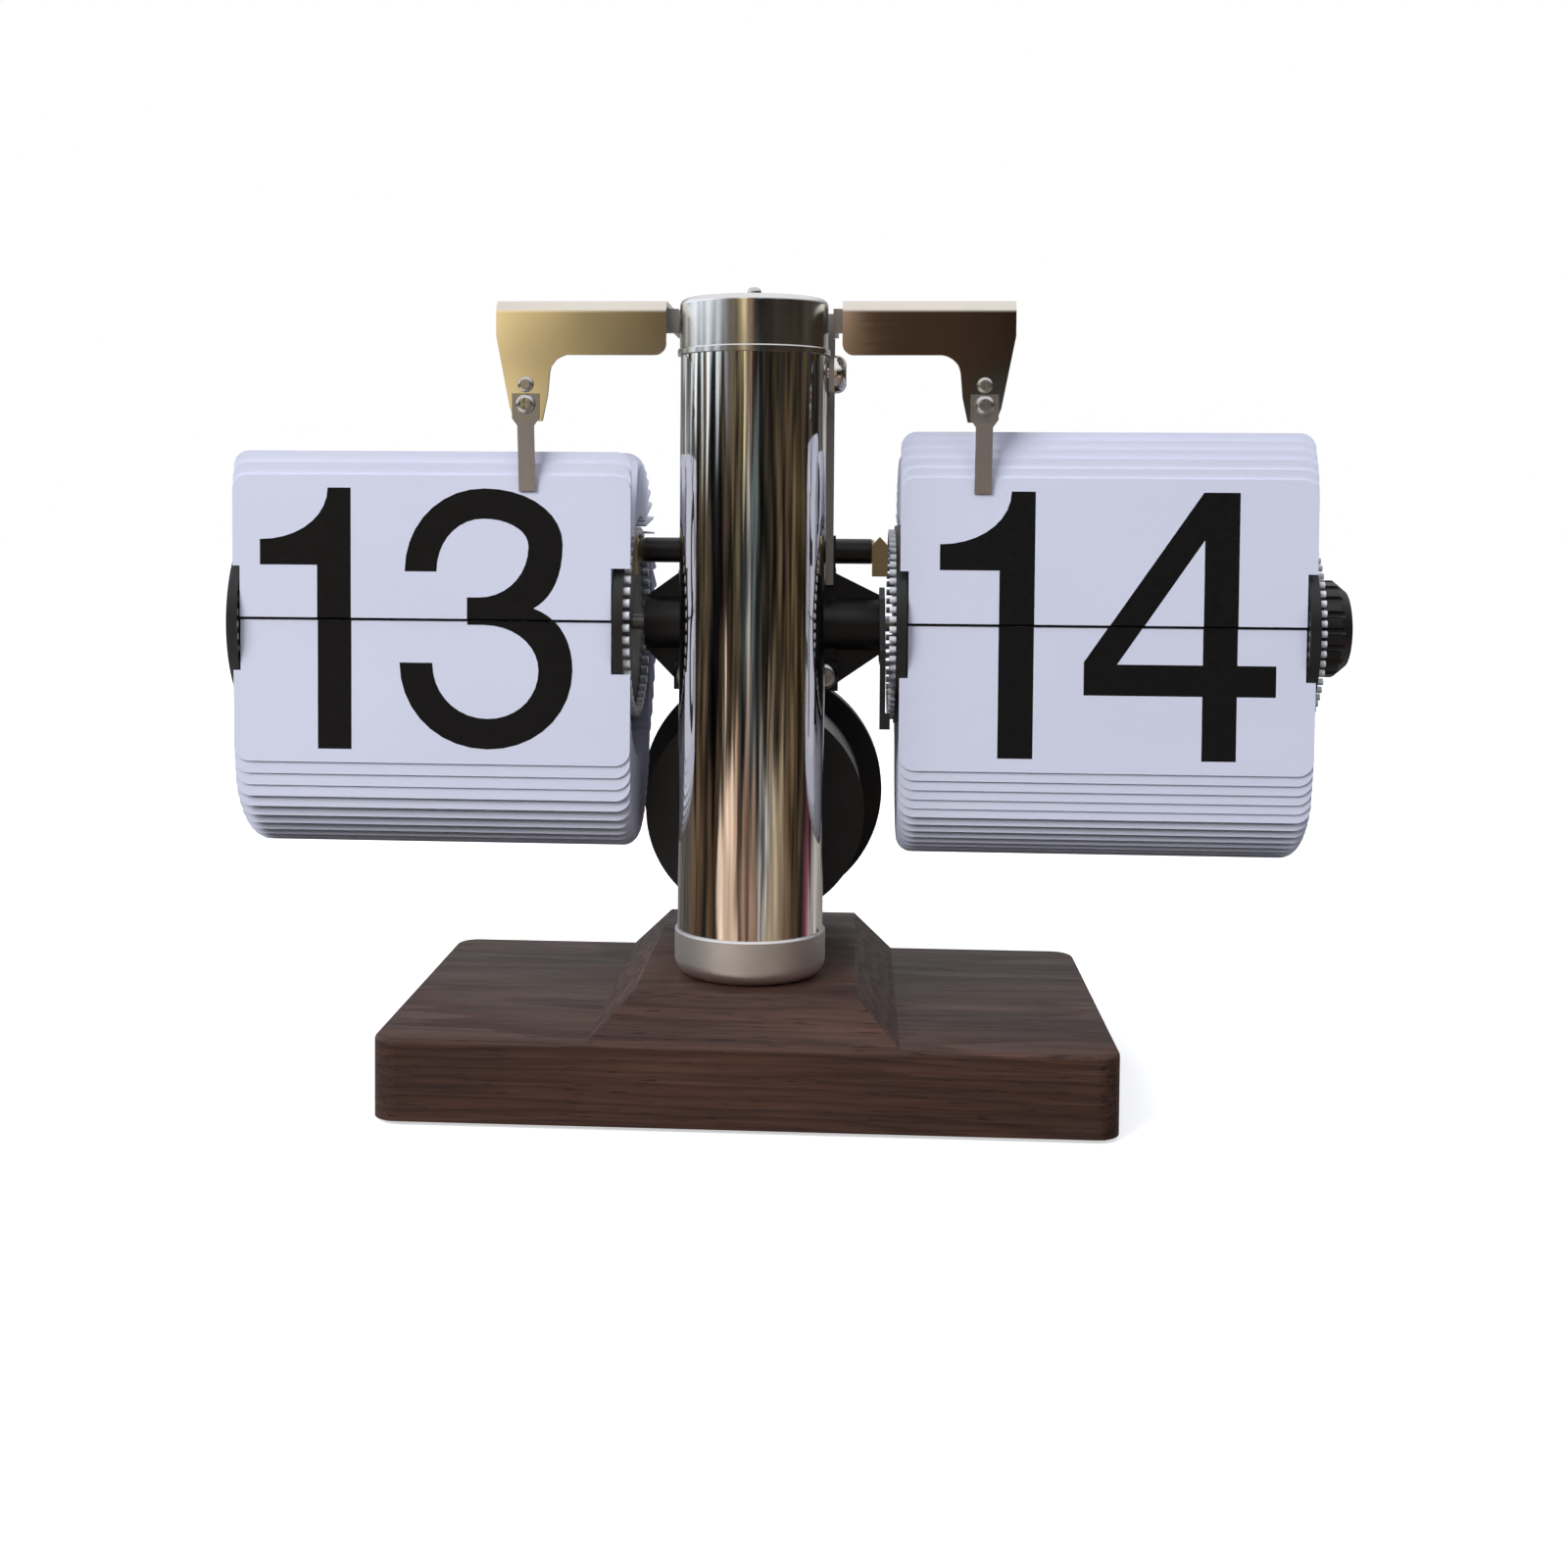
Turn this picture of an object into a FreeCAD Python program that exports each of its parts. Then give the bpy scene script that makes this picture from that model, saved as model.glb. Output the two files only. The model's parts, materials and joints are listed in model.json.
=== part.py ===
import FreeCAD, Part
import math
import os
import types

import Sketcher

# Flip number clock: a wooden base, a chrome column that holds the battery, two drums of number
# cards on a shared axis behind the column, and a stepping motor under them.
# Millimetres, +X to the clock's right as seen from the front, +Y to the back, +Z up.
# The origin is on the table, under the middle of the wooden base.

DIMENSIONS = {
    # wooden base
    "base_width": 134, "base_depth": 80, "base_corner": 4.5, "base_edge": 0.9,
    "foot_height": 0.8, "pad_inset": 2.5,
    "slab_top": 15.7, "ridge_top": 23.3, "ridge_half_top": 20, "ridge_half_foot": 28,
    "ridge_flat_end": -31, "base_screw_spread": 7, "base_screw_seat": 5.4,
    # column
    "column_y": -14.5, "tube_radius": 13.8, "tube_wall": 0.5, "tube_foot": 32, "tube_end": 139.8,
    "socket_radius": 14.3, "socket_round": 3, "spigot_height": 5,
    "shelf_z": 83.5, "shelf_thickness": 2.5, "battery_radius": 12.9, "battery_foot": 88.8,
    "battery_length": 47.8, "battery_nub": 1.7, "battery_nub_radius": 3.7,
    "cap_foot": 139.9, "cap_radius": 13.95, "cap_rim_radius": 14.35, "cap_rim_height": 1.2,
    "cap_shoulder": 150.3, "cap_crown": 0.5, "cap_wall": 1, "cap_skirt": 2.9,
    "nub_radius": 1.3, "nub_height": 2,
    # arms over the cards
    "arm_inner": 16.6, "arm_outer": 48.9, "arm_top": 150.4, "arm_plate_foot": 140.1,
    "arm_leg_foot": 127.6, "arm_front": -15.2, "arm_sheet": 1, "arm_back": 1.5,
    "arm_bend": 2.4, "finger_x": 43.2, "finger_screw_z": 130.8, "finger_rivet_z": 134.5,
    "finger_head_half": 2.6, "finger_half": 1.6, "finger_tip": 114.3, "finger_sheet": 0.3,
    # strap and spine behind the cap
    "strap_front": -9, "strap_sheet": 1, "strap_foot": 144.8, "strap_leg": 14.8, "strap_outer": 46,
    "spine_front": 0.4, "spine_sheet": 1, "spine_half": 15.1, "spine_foot": 96.4,
    "side_screw_y": -10.5, "side_screw_z": 136.8, "side_screw_radius": 3.6,
    # drums
    "axis_y": 5.2, "axis_z": 88.5, "hinge_radius": 18.2, "disc_radius": 19.6, "disc_thickness": 2,
    "axle_radius": 1.5, "hub_radius": 4, "running_gap": 0.05,
    "hour_inner": 24.8, "hour_outer": 101.6, "hour_card_inner": 23.4, "hour_card_outer": 100.7,
    "minute_inner": 27.2, "minute_outer": 106, "minute_card_inner": 27.9,
    "minute_card_outer": 105.5, "tab_stand": 1.25, "hour_tab_radius": 0.8,
    "minute_tab_radius": 0.65, "hour_cards": 48, "minute_cards": 60,
    "knob_radius": 9.5, "knob_start": 109, "knob_end": 114.8, "knob_flutes": 18,
    # cards
    "card_thickness": 0.3, "card_gap": 0.08, "card_front": -13, "card_split": 89.5,
    "split_gap": 0.3, "card_half_height": 27.8, "card_corner": 3, "notch_height": 10,
    # movement frame
    "plate_inner": 13, "plate_outer": 15.5, "plate_front": 3, "plate_back": 24,
    "plate_foot": 76, "plate_top": 99, "sleeve_radius": 5.25, "sleeve_hour": 22.2,
    "sleeve_minute": 25.4, "bar_y": 6.25, "bar_z": 102.9, "bar_radius": 2.5, "bar_half": 22.6,
    "saddle_foot": 75.5, "saddle_top": 81, "frame_screw_x": 13.6, "frame_screw_z": 78.5,
    # gear train
    "train_distance": 8.4, "gear_face": 2, "gear_start": 10.4,
    "minute_pinion_teeth": 10, "lay_wheel_teeth": 40, "lay_pinion_teeth": 8,
    "hour_wheel_teeth": 48, "crown_module": 0.35, "crown_teeth": 24, "drive_pinion_teeth": 8,
    "motor_module": 0.3333, "motor_crown_teeth": 18, "rotor_pinion_teeth": 9,
    "thin_shaft": 0.8, "pinion_face": 1.2,
    # motor
    "motor_z": 51.5, "motor_front": 0.2, "motor_cover_radius": 21.6, "motor_cover": 1,
    "can_radius": 21, "can_wall": 0.6, "can_end": 31, "housing_radius": 25.5, "housing_end": 37,
    "magnet_radius": 9, "magnet_front": 13, "magnet_back": 28,
}

SCREW_FIT = 0.03  # a shank is this much thinner than its hole
THIN_END = 1.0    # radius of the axles' turned-down ends, which carry the gears
DEGREES_X_TO_AXIS = {"X": (0, 1, 0, 90), "Y": (1, 0, 0, -90), "Z": (0, 0, 1, 0)}


class Size:
    """A length as a number together with the spreadsheet formula that gives it."""

    def __init__(self, number, formula):
        self.number = number
        self.formula = formula

    def joined(self, other, sign, number):
        return Size(number, "(%s %s %s)" % (self.formula, sign, other.formula))

    def __add__(self, other):
        other = size(other)
        return self.joined(other, "+", self.number + other.number)

    def __sub__(self, other):
        other = size(other)
        return self.joined(other, "-", self.number - other.number)

    def __mul__(self, other):
        other = size(other)
        return self.joined(other, "*", self.number * other.number)

    def __truediv__(self, other):
        other = size(other)
        return self.joined(other, "/", self.number / other.number)

    def __neg__(self):
        return Size(-self.number, "(0 - %s)" % self.formula)

    def __radd__(self, other):
        return size(other) + self

    def __rsub__(self, other):
        return size(other) - self

    def __rmul__(self, other):
        return size(other) * self


def size(value):
    return value if isinstance(value, Size) else Size(value, "%.6f" % value)


def make_sheet(doc):
    """The driving dimensions, one row each: its name and its number."""
    sheet = doc.addObject("Spreadsheet::Sheet", "dims")
    sizes = {}
    for row, (name, number) in enumerate(DIMENSIONS.items(), start=1):
        sheet.set("A%d" % row, name)
        sheet.set("B%d" % row, str(number))
        sheet.setAlias("B%d" % row, name)
        sizes[name] = Size(number, "dims." + name)
    doc.recompute()
    return types.SimpleNamespace(**sizes)


doc = FreeCAD.newDocument("flip_clock")
d = make_sheet(doc)
parts = []


def keep(label, piece):
    """Make a piece a sub-part with a file of its own."""
    piece.Label = label
    parts.append(piece)
    return piece


def bind(piece, name, value):
    piece.setExpression(name, size(value).formula)


def place(piece, at, axis="Z", flip=False):
    """Stand a piece on a point, with its own Z along an axis, or against it."""
    x, y, z, angle = DEGREES_X_TO_AXIS[axis]
    turn = FreeCAD.Rotation(FreeCAD.Vector(x, y, z), angle)
    if flip:
        turn = turn * FreeCAD.Rotation(FreeCAD.Vector(1, 0, 0), 180)
    point = [size(value) for value in at]
    piece.Placement = FreeCAD.Placement(FreeCAD.Vector(*[p.number for p in point]), turn)
    for letter, value in zip("xyz", point):
        piece.setExpression("Placement.Base." + letter, value.formula)
    return piece


def block(name, x, y, z):
    """A box from its low and high X, Y and Z."""
    box = doc.addObject("Part::Box", name)
    bind(box, "Length", size(x[1]) - x[0])
    bind(box, "Width", size(y[1]) - y[0])
    bind(box, "Height", size(z[1]) - z[0])
    return place(box, (x[0], y[0], z[0]))


def rod(name, axis, radius, start, end, centre):
    """A cylinder along an axis from start to end, through the centre in the other two axes."""
    cylinder = doc.addObject("Part::Cylinder", name)
    bind(cylinder, "Radius", radius)
    bind(cylinder, "Height", size(end) - start)
    first, second = centre
    at = {"X": (start, first, second), "Y": (first, start, second), "Z": (first, second, start)}
    return place(cylinder, at[axis], axis)


def join(name, *pieces):
    fused = doc.addObject("Part::MultiFuse", name)
    fused.Shapes = list(pieces)
    return fused


def group(name, *pieces):
    compound = doc.addObject("Part::Compound", name)
    compound.Links = list(pieces)
    return compound


def cut(name, base, *tools):
    result = doc.addObject("Part::Cut", name)
    result.Base = base
    result.Tool = tools[0] if len(tools) == 1 else join(name + "_tools", *tools)
    return result


def sketch(body, plane, offset, corners):
    """A closed outline of straight lines whose corners are bound to the sheet."""
    outline = body.newObject("Sketcher::SketchObject", "outline")
    origin = [item for item in body.Origin.OriginFeatures if item.Role == plane][0]
    outline.AttachmentSupport = [(origin, "")]
    outline.MapMode = "FlatFace"
    outline.setExpression("AttachmentOffset.Base.z", size(offset).formula)
    points = [(size(u), size(v)) for u, v in corners]
    count = len(points)
    for index in range(count):
        (u, v), (next_u, next_v) = points[index], points[(index + 1) % count]
        start = FreeCAD.Vector(u.number, v.number, 0)
        end = FreeCAD.Vector(next_u.number, next_v.number, 0)
        outline.addGeometry(Part.LineSegment(start, end), False)
    for index in range(count):
        outline.addConstraint(Sketcher.Constraint("Coincident", index, 2, (index + 1) % count, 1))
    for index, (u, v) in enumerate(points):
        across = Sketcher.Constraint("DistanceX", -1, 1, index, 1, u.number)
        outline.setExpression("Constraints[%d]" % outline.addConstraint(across), u.formula)
        along = Sketcher.Constraint("DistanceY", -1, 1, index, 1, v.number)
        outline.setExpression("Constraints[%d]" % outline.addConstraint(along), v.formula)
    return outline


def circles(body, plane, offset, centres, radius):
    """A sketch of equal circles."""
    holes = body.newObject("Sketcher::SketchObject", "holes")
    origin = [item for item in body.Origin.OriginFeatures if item.Role == plane][0]
    holes.AttachmentSupport = [(origin, "")]
    holes.MapMode = "FlatFace"
    holes.setExpression("AttachmentOffset.Base.z", size(offset).formula)
    radius = size(radius)
    for index, (u, v) in enumerate(centres):
        u, v = size(u), size(v)
        middle = FreeCAD.Vector(u.number, v.number, 0)
        holes.addGeometry(Part.Circle(middle, FreeCAD.Vector(0, 0, 1), radius.number), False)
        across = Sketcher.Constraint("DistanceX", -1, 1, index, 3, u.number)
        holes.setExpression("Constraints[%d]" % holes.addConstraint(across), u.formula)
        along = Sketcher.Constraint("DistanceY", -1, 1, index, 3, v.number)
        holes.setExpression("Constraints[%d]" % holes.addConstraint(along), v.formula)
        round_size = Sketcher.Constraint("Radius", index, radius.number)
        holes.setExpression("Constraints[%d]" % holes.addConstraint(round_size), radius.formula)
    return holes


# A sketch plane's normal is +Z for XY, +X for YZ and -Y for XZ. A pad grows along it, and a
# pocket cuts against it.
def add_pad(body, plane, start, end, corners):
    low_side = -size(end) if plane == "XZ_Plane" else start
    pad = body.newObject("PartDesign::Pad", "pad")
    pad.Profile = sketch(body, plane, low_side, corners)
    bind(pad, "Length", size(end) - start)
    doc.recompute()
    return pad


def cut_pocket(body, plane, start, end, profile_maker, *profile):
    """Cut a profile away from start to end, and stop if nothing was cut."""
    before = body.Shape.Volume
    high_side = -size(start) if plane == "XZ_Plane" else end
    pocket = body.newObject("PartDesign::Pocket", "pocket")
    pocket.Profile = profile_maker(body, plane, high_side, *profile)
    bind(pocket, "Length", size(end) - start)
    doc.recompute()
    if body.Shape.Volume >= before:
        raise RuntimeError("a pocket in %s cuts nothing" % body.Label)
    return pocket


def padded(name, plane, start, end, corners):
    body = doc.addObject("PartDesign::Body", name)
    add_pad(body, plane, start, end, corners)
    return body


def turned(name, corners):
    """A body turned about its own Z axis from an outline of radius and height."""
    body = doc.addObject("PartDesign::Body", name)
    profile = sketch(body, "XZ_Plane", 0, corners)
    lathe = body.newObject("PartDesign::Revolution", "turning")
    lathe.Profile = profile
    lathe.ReferenceAxis = (profile, ["V_Axis"])
    lathe.Angle = 360
    doc.recompute()
    return body


def round_off(body, radius, chosen):
    """Fillet the edges that chosen(edge) picks."""
    edges = ["Edge%d" % (index + 1) for index, edge in enumerate(body.Shape.Edges) if chosen(edge)]
    if not edges:
        raise RuntimeError("no edge to round on %s" % body.Label)
    solid = body.Tip
    fillet = body.newObject("PartDesign::Fillet", "fillet")
    fillet.Base = (solid, edges)
    bind(fillet, "Radius", radius)
    doc.recompute()
    if "Invalid" in fillet.State:
        raise RuntimeError("a fillet on %s is too large" % body.Label)
    return fillet


def edge_at(plane, *spots):
    """Picks straight edges square to a plane that pass through one of the spots in it."""
    first, second = {"XY": ("x", "y"), "XZ": ("x", "z"), "YZ": ("y", "z")}[plane]

    def chosen(edge):
        start, end = edge.Vertexes[0].Point, edge.Vertexes[-1].Point
        for u, v in spots:
            u, v = size(u).number, size(v).number
            offsets = [getattr(start, first) - u, getattr(start, second) - v,
                       getattr(end, first) - u, getattr(end, second) - v]
            if max(abs(offset) for offset in offsets) < 0.01 and edge.Length > 0.05:
                return True
        return False
    return chosen


def ring_at(radius, height):
    """Picks the circle of a turned body with this radius at this height."""
    radius, height = size(radius).number, size(height).number

    def chosen(edge):
        curve = edge.Curve
        if not isinstance(curve, Part.Circle):
            return False
        return abs(curve.Radius - radius) < 0.01 and abs(curve.Center.z - height) < 0.01
    return chosen


def screw(name, head_radius, head_height, shank_radius, shank_length, recess=True):
    """A domed screw or rivet with its seat at its own origin and its head above it."""
    head_radius, head_height = size(head_radius), size(head_height)
    shank_radius = size(shank_radius) - SCREW_FIT
    body = turned(name, [(0, -size(shank_length)), (shank_radius, -size(shank_length)),
                         (shank_radius, 0), (head_radius, 0), (head_radius, head_height),
                         (0, head_height)])
    tall = head_height.number > head_radius.number
    dome = head_radius * 0.7 if tall else head_height * 0.8
    round_off(body, dome, ring_at(head_radius, head_height))
    if not recess:
        return body
    reach, slit = head_radius * 0.55, head_radius * 0.13
    depth = head_height * 0.5
    cross = [(reach, slit), (reach, -slit), (slit, -slit), (slit, -reach), (-slit, -reach),
             (-slit, -slit), (-reach, -slit), (-reach, slit), (-slit, slit), (-slit, reach),
             (slit, reach), (slit, slit)]
    cut_pocket(body, "XY_Plane", head_height - depth, head_height, sketch, cross)
    return body


# ---------------------------------------------------------------- wooden base

def make_base():
    half_x, half_y = d.base_width / 2, d.base_depth / 2
    corners = [(half_x, half_y), (-half_x, half_y), (-half_x, -half_y), (half_x, -half_y)]
    base = padded("base", "XY_Plane", d.foot_height, d.slab_top, corners)
    round_off(base, d.base_corner, edge_at("XY", *corners))
    top = d.slab_top.number
    round_off(base, d.base_edge,
              lambda edge: all(abs(vertex.Z - top) < 0.001 for vertex in edge.Vertexes))
    # the ridge is a trapezoid along the depth, and its front end slopes down to the edge
    ridge_front = d.base_edge - half_y
    add_pad(base, "XZ_Plane", ridge_front, half_y - d.base_edge,
            [(-d.ridge_half_foot, d.slab_top - 1), (d.ridge_half_foot, d.slab_top - 1),
             (d.ridge_half_foot, d.slab_top), (d.ridge_half_top, d.ridge_top),
             (-d.ridge_half_top, d.ridge_top), (-d.ridge_half_foot, d.slab_top)])
    cut_pocket(base, "YZ_Plane", -d.ridge_half_foot - 1, d.ridge_half_foot + 1, sketch,
               [(ridge_front, d.slab_top), (d.ridge_flat_end, d.ridge_top),
                (d.ridge_flat_end, d.ridge_top + 1), (ridge_front - 1, d.ridge_top + 1),
                (ridge_front - 1, d.slab_top)])
    spots = [(side * d.base_screw_spread, d.column_y) for side in (-1, 1)]
    cut_pocket(base, "XY_Plane", d.foot_height, d.base_screw_seat, circles, spots, 4.2)
    cut_pocket(base, "XY_Plane", d.base_screw_seat, d.ridge_top, circles, spots, 1.9)
    keep("wood_base", base)

    # a felt sheet covers the underside and the screw heads, and stands on the table
    across, deep = half_x - d.pad_inset, half_y - d.pad_inset
    keep("base_pad", block("pad_sheet", (-across, across), (-deep, deep), (0, d.foot_height)))
    screws = []
    for side in (-1, 1):
        one = screw("base_screw", 3.4, 2.4, 1.5, 28.2)
        at = (side * d.base_screw_spread, d.column_y, d.base_screw_seat)
        screws.append(place(one, at, "Z", flip=True))
    keep("base_screws", group("base_screw_pair", *screws))


# ---------------------------------------------------------------- column

def make_column():
    bore = d.tube_radius - d.tube_wall
    spigot = bore - 0.05
    socket = turned("socket", [(0, d.ridge_top), (d.socket_radius, d.ridge_top),
                               (d.socket_radius, d.tube_foot), (spigot, d.tube_foot),
                               (spigot, d.tube_foot + d.spigot_height),
                               (0, d.tube_foot + d.spigot_height)])
    round_off(socket, d.socket_round, ring_at(d.socket_radius, d.ridge_top))
    round_off(socket, 0.6, ring_at(d.socket_radius, d.tube_foot))
    cut_pocket(socket, "XY_Plane", d.ridge_top, d.tube_foot + 2.5, circles,
               [(-d.base_screw_spread, 0), (d.base_screw_spread, 0)], 1.5)
    keep("bottom_cap", place(socket, (0, d.column_y, 0)))

    centre = (0, d.column_y)
    outer = rod("tube_outer", "Z", d.tube_radius, d.tube_foot, d.tube_end, centre)
    inner = rod("tube_inner", "Z", bore, d.tube_foot - 1, d.tube_end + 1, centre)
    side_hole = rod("tube_side_hole", "X", 1.2, 8, d.spine_half, (d.side_screw_y, d.side_screw_z))
    keep("column_tube", cut("tube", outer, inner, side_hole))

    shelf_top = d.shelf_z + d.shelf_thickness
    shelf = rod("shelf_disc", "Z", bore - 0.05, d.shelf_z, shelf_top, centre)
    wire_slot = rod("shelf_hole", "Z", 1.5, d.shelf_z - 1, shelf_top + 1, (8, d.column_y))
    keep("battery_shelf", cut("shelf", shelf, wire_slot))

    cell_top = d.battery_foot + d.battery_length
    cell = turned("cell", [(0, d.battery_foot), (d.battery_radius, d.battery_foot),
                           (d.battery_radius, cell_top), (d.battery_nub_radius, cell_top),
                           (d.battery_nub_radius, cell_top + d.battery_nub),
                           (0, cell_top + d.battery_nub)])
    round_off(cell, 0.8, ring_at(d.battery_radius, cell_top))
    round_off(cell, 0.5, ring_at(d.battery_radius, d.battery_foot))
    keep("battery", place(cell, (0, d.column_y, 0)))

    # a folded leaf between the shelf and the cell
    foot_top, tongue_top = shelf_top + 0.3, d.battery_foot - 0.05
    leaf = padded("contact_leaf", "XZ_Plane", d.column_y - 2.5, d.column_y + 2.5,
                  [(-6, shelf_top), (6, shelf_top), (6, foot_top), (-4.6, foot_top),
                   (4.6, tongue_top - 0.3), (4.6, tongue_top), (-6, foot_top + 0.1)])
    keep("contact_spring", leaf)


def make_top_cap():
    lining = d.cap_radius - 1.75
    skirt = d.tube_radius - d.tube_wall - 0.1
    ceiling = d.cap_shoulder - d.cap_wall
    rim_top = d.cap_foot + d.cap_rim_height
    cap = turned("cap", [(lining, d.cap_foot - d.cap_skirt), (skirt, d.cap_foot - d.cap_skirt),
                         (skirt, d.cap_foot), (d.cap_rim_radius, d.cap_foot),
                         (d.cap_rim_radius, rim_top), (d.cap_radius, rim_top),
                         (d.cap_radius, d.cap_shoulder), (0, d.cap_shoulder + d.cap_crown),
                         (0, ceiling), (lining, ceiling)])
    round_off(cap, 1.2, ring_at(d.cap_radius, d.cap_shoulder))
    round_off(cap, 0.3, ring_at(d.cap_rim_radius, rim_top))
    cut_pocket(cap, "XY_Plane", ceiling - 1, d.cap_shoulder + 1, circles, [(0, 0)], 0.8)
    keep("top_cap", place(cap, (0, d.column_y, 0)))

    crown = d.cap_shoulder + d.cap_crown
    nub = screw("nub", d.nub_radius, d.nub_height, 0.8, 9.5, recess=False)
    keep("cap_screw", place(nub, (0, d.column_y, crown)))

    contact_z = d.battery_foot + d.battery_length + d.battery_nub + 0.3
    plate = rod("contact_plate", "Z", 5.5, contact_z, contact_z + 0.5, (0, d.column_y))
    post = rod("contact_post", "Z", 2.2, contact_z, ceiling, (0, d.column_y))
    hole = rod("contact_hole", "Z", 0.8, contact_z + 1.5, ceiling + 1, (0, d.column_y))
    keep("cap_contact", cut("contact", join("contact_solid", plate, post), hole))


# ---------------------------------------------------------------- arms and fingers

def make_arm(side):
    name = "left" if side < 0 else "right"
    inner, outer = side * d.arm_inner, side * d.arm_outer
    low, high = (outer, inner) if side < 0 else (inner, outer)
    front, sheet, back = d.arm_front, d.arm_sheet, d.arm_back
    arm = padded("arm_" + name, "YZ_Plane", low, high,
                 [(front, d.arm_leg_foot), (front, d.arm_top), (back, d.arm_top),
                  (back, d.arm_top - sheet), (front + sheet, d.arm_top - sheet),
                  (front + sheet, d.arm_leg_foot)])
    round_off(arm, d.arm_bend, edge_at("YZ", (front, d.arm_top)))
    round_off(arm, d.arm_bend - sheet, edge_at("YZ", (front + sheet, d.arm_top - sheet)))
    # below the plate only the leg is left, which narrows towards its foot
    leg_inner = d.arm_outer - 10.5
    below = [(side * (d.arm_inner - 1), d.arm_plate_foot), (side * leg_inner, d.arm_plate_foot),
             (side * (d.arm_outer - 9.8), d.finger_screw_z + 1.5),
             (side * (d.arm_outer - 8.8), d.arm_leg_foot), (side * (d.arm_outer - 8.8), 120),
             (side * (d.arm_inner - 1), 120)]
    beside = [(side * (d.arm_outer + 1), d.arm_top - 6.7), (side * d.arm_outer, d.arm_top - 6.7),
              (side * (d.arm_outer - 2.6), d.arm_leg_foot + 2.6),
              (side * (d.arm_outer - 3.6), d.arm_leg_foot), (side * (d.arm_outer - 3.6), 120),
              (side * (d.arm_outer + 1), 120)]
    for outline in (below, beside):
        cut_pocket(arm, "XZ_Plane", front - 1, front + 3, sketch, outline)
    round_off(arm, 3.8, edge_at("XZ", (side * leg_inner, d.arm_plate_foot)))
    round_off(arm, 2.2, edge_at("XZ", (inner, d.arm_plate_foot)))
    at = side * d.finger_x
    cut_pocket(arm, "XZ_Plane", front - 1, front + 3, circles,
               [(at, d.finger_screw_z), (at, d.finger_rivet_z)], 1)
    keep("arm_" + name, arm)


def make_finger(side):
    """A spring leaf that leans back onto the card below the arm."""
    name = "left" if side < 0 else "right"
    middle = side * d.finger_x
    back, sheet = d.arm_front, d.finger_sheet
    bend = d.arm_leg_foot - 0.1
    head_top = d.finger_screw_z + 2
    tip_back = d.card_front - 0.15
    leaf = padded("finger_" + name, "YZ_Plane", middle - d.finger_head_half,
                  middle + d.finger_head_half,
                  [(back, head_top), (back - sheet, head_top),
                   (back - sheet, bend), (tip_back - sheet, d.finger_tip),
                   (tip_back, d.finger_tip), (back, bend)])
    for edge_side in (-1, 1):
        neck = middle + edge_side * d.finger_half
        outline = [(neck, d.finger_tip - 1), (neck, bend - 0.8),
                   (middle + edge_side * d.finger_head_half, bend + 0.6),
                   (middle + edge_side * (d.finger_head_half + 1), bend + 0.6),
                   (middle + edge_side * (d.finger_head_half + 1), d.finger_tip - 1)]
        cut_pocket(leaf, "XZ_Plane", back - 2, d.card_front + 1, sketch, outline)
    cut_pocket(leaf, "XZ_Plane", back - 2, back + 1, circles, [(middle, d.finger_screw_z)], 1)
    keep("finger_" + name, leaf)


def make_arms():
    screws, rivets = [], []
    for side in (-1, 1):
        make_arm(side)
        make_finger(side)
        pin = screw("finger_screw", 1.85, 1.1, 1, 2.2)
        at = (side * d.finger_x, d.arm_front - d.finger_sheet, d.finger_screw_z)
        screws.append(place(pin, at, "Y", flip=True))
        rivet = screw("finger_rivet", 1.5, 0.8, 1, 1.4, recess=False)
        at = (side * d.finger_x, d.arm_front, d.finger_rivet_z)
        rivets.append(place(rivet, at, "Y", flip=True))
    keep("finger_screws", group("finger_screw_pair", *screws))
    keep("finger_rivets", group("finger_rivet_pair", *rivets))


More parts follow.
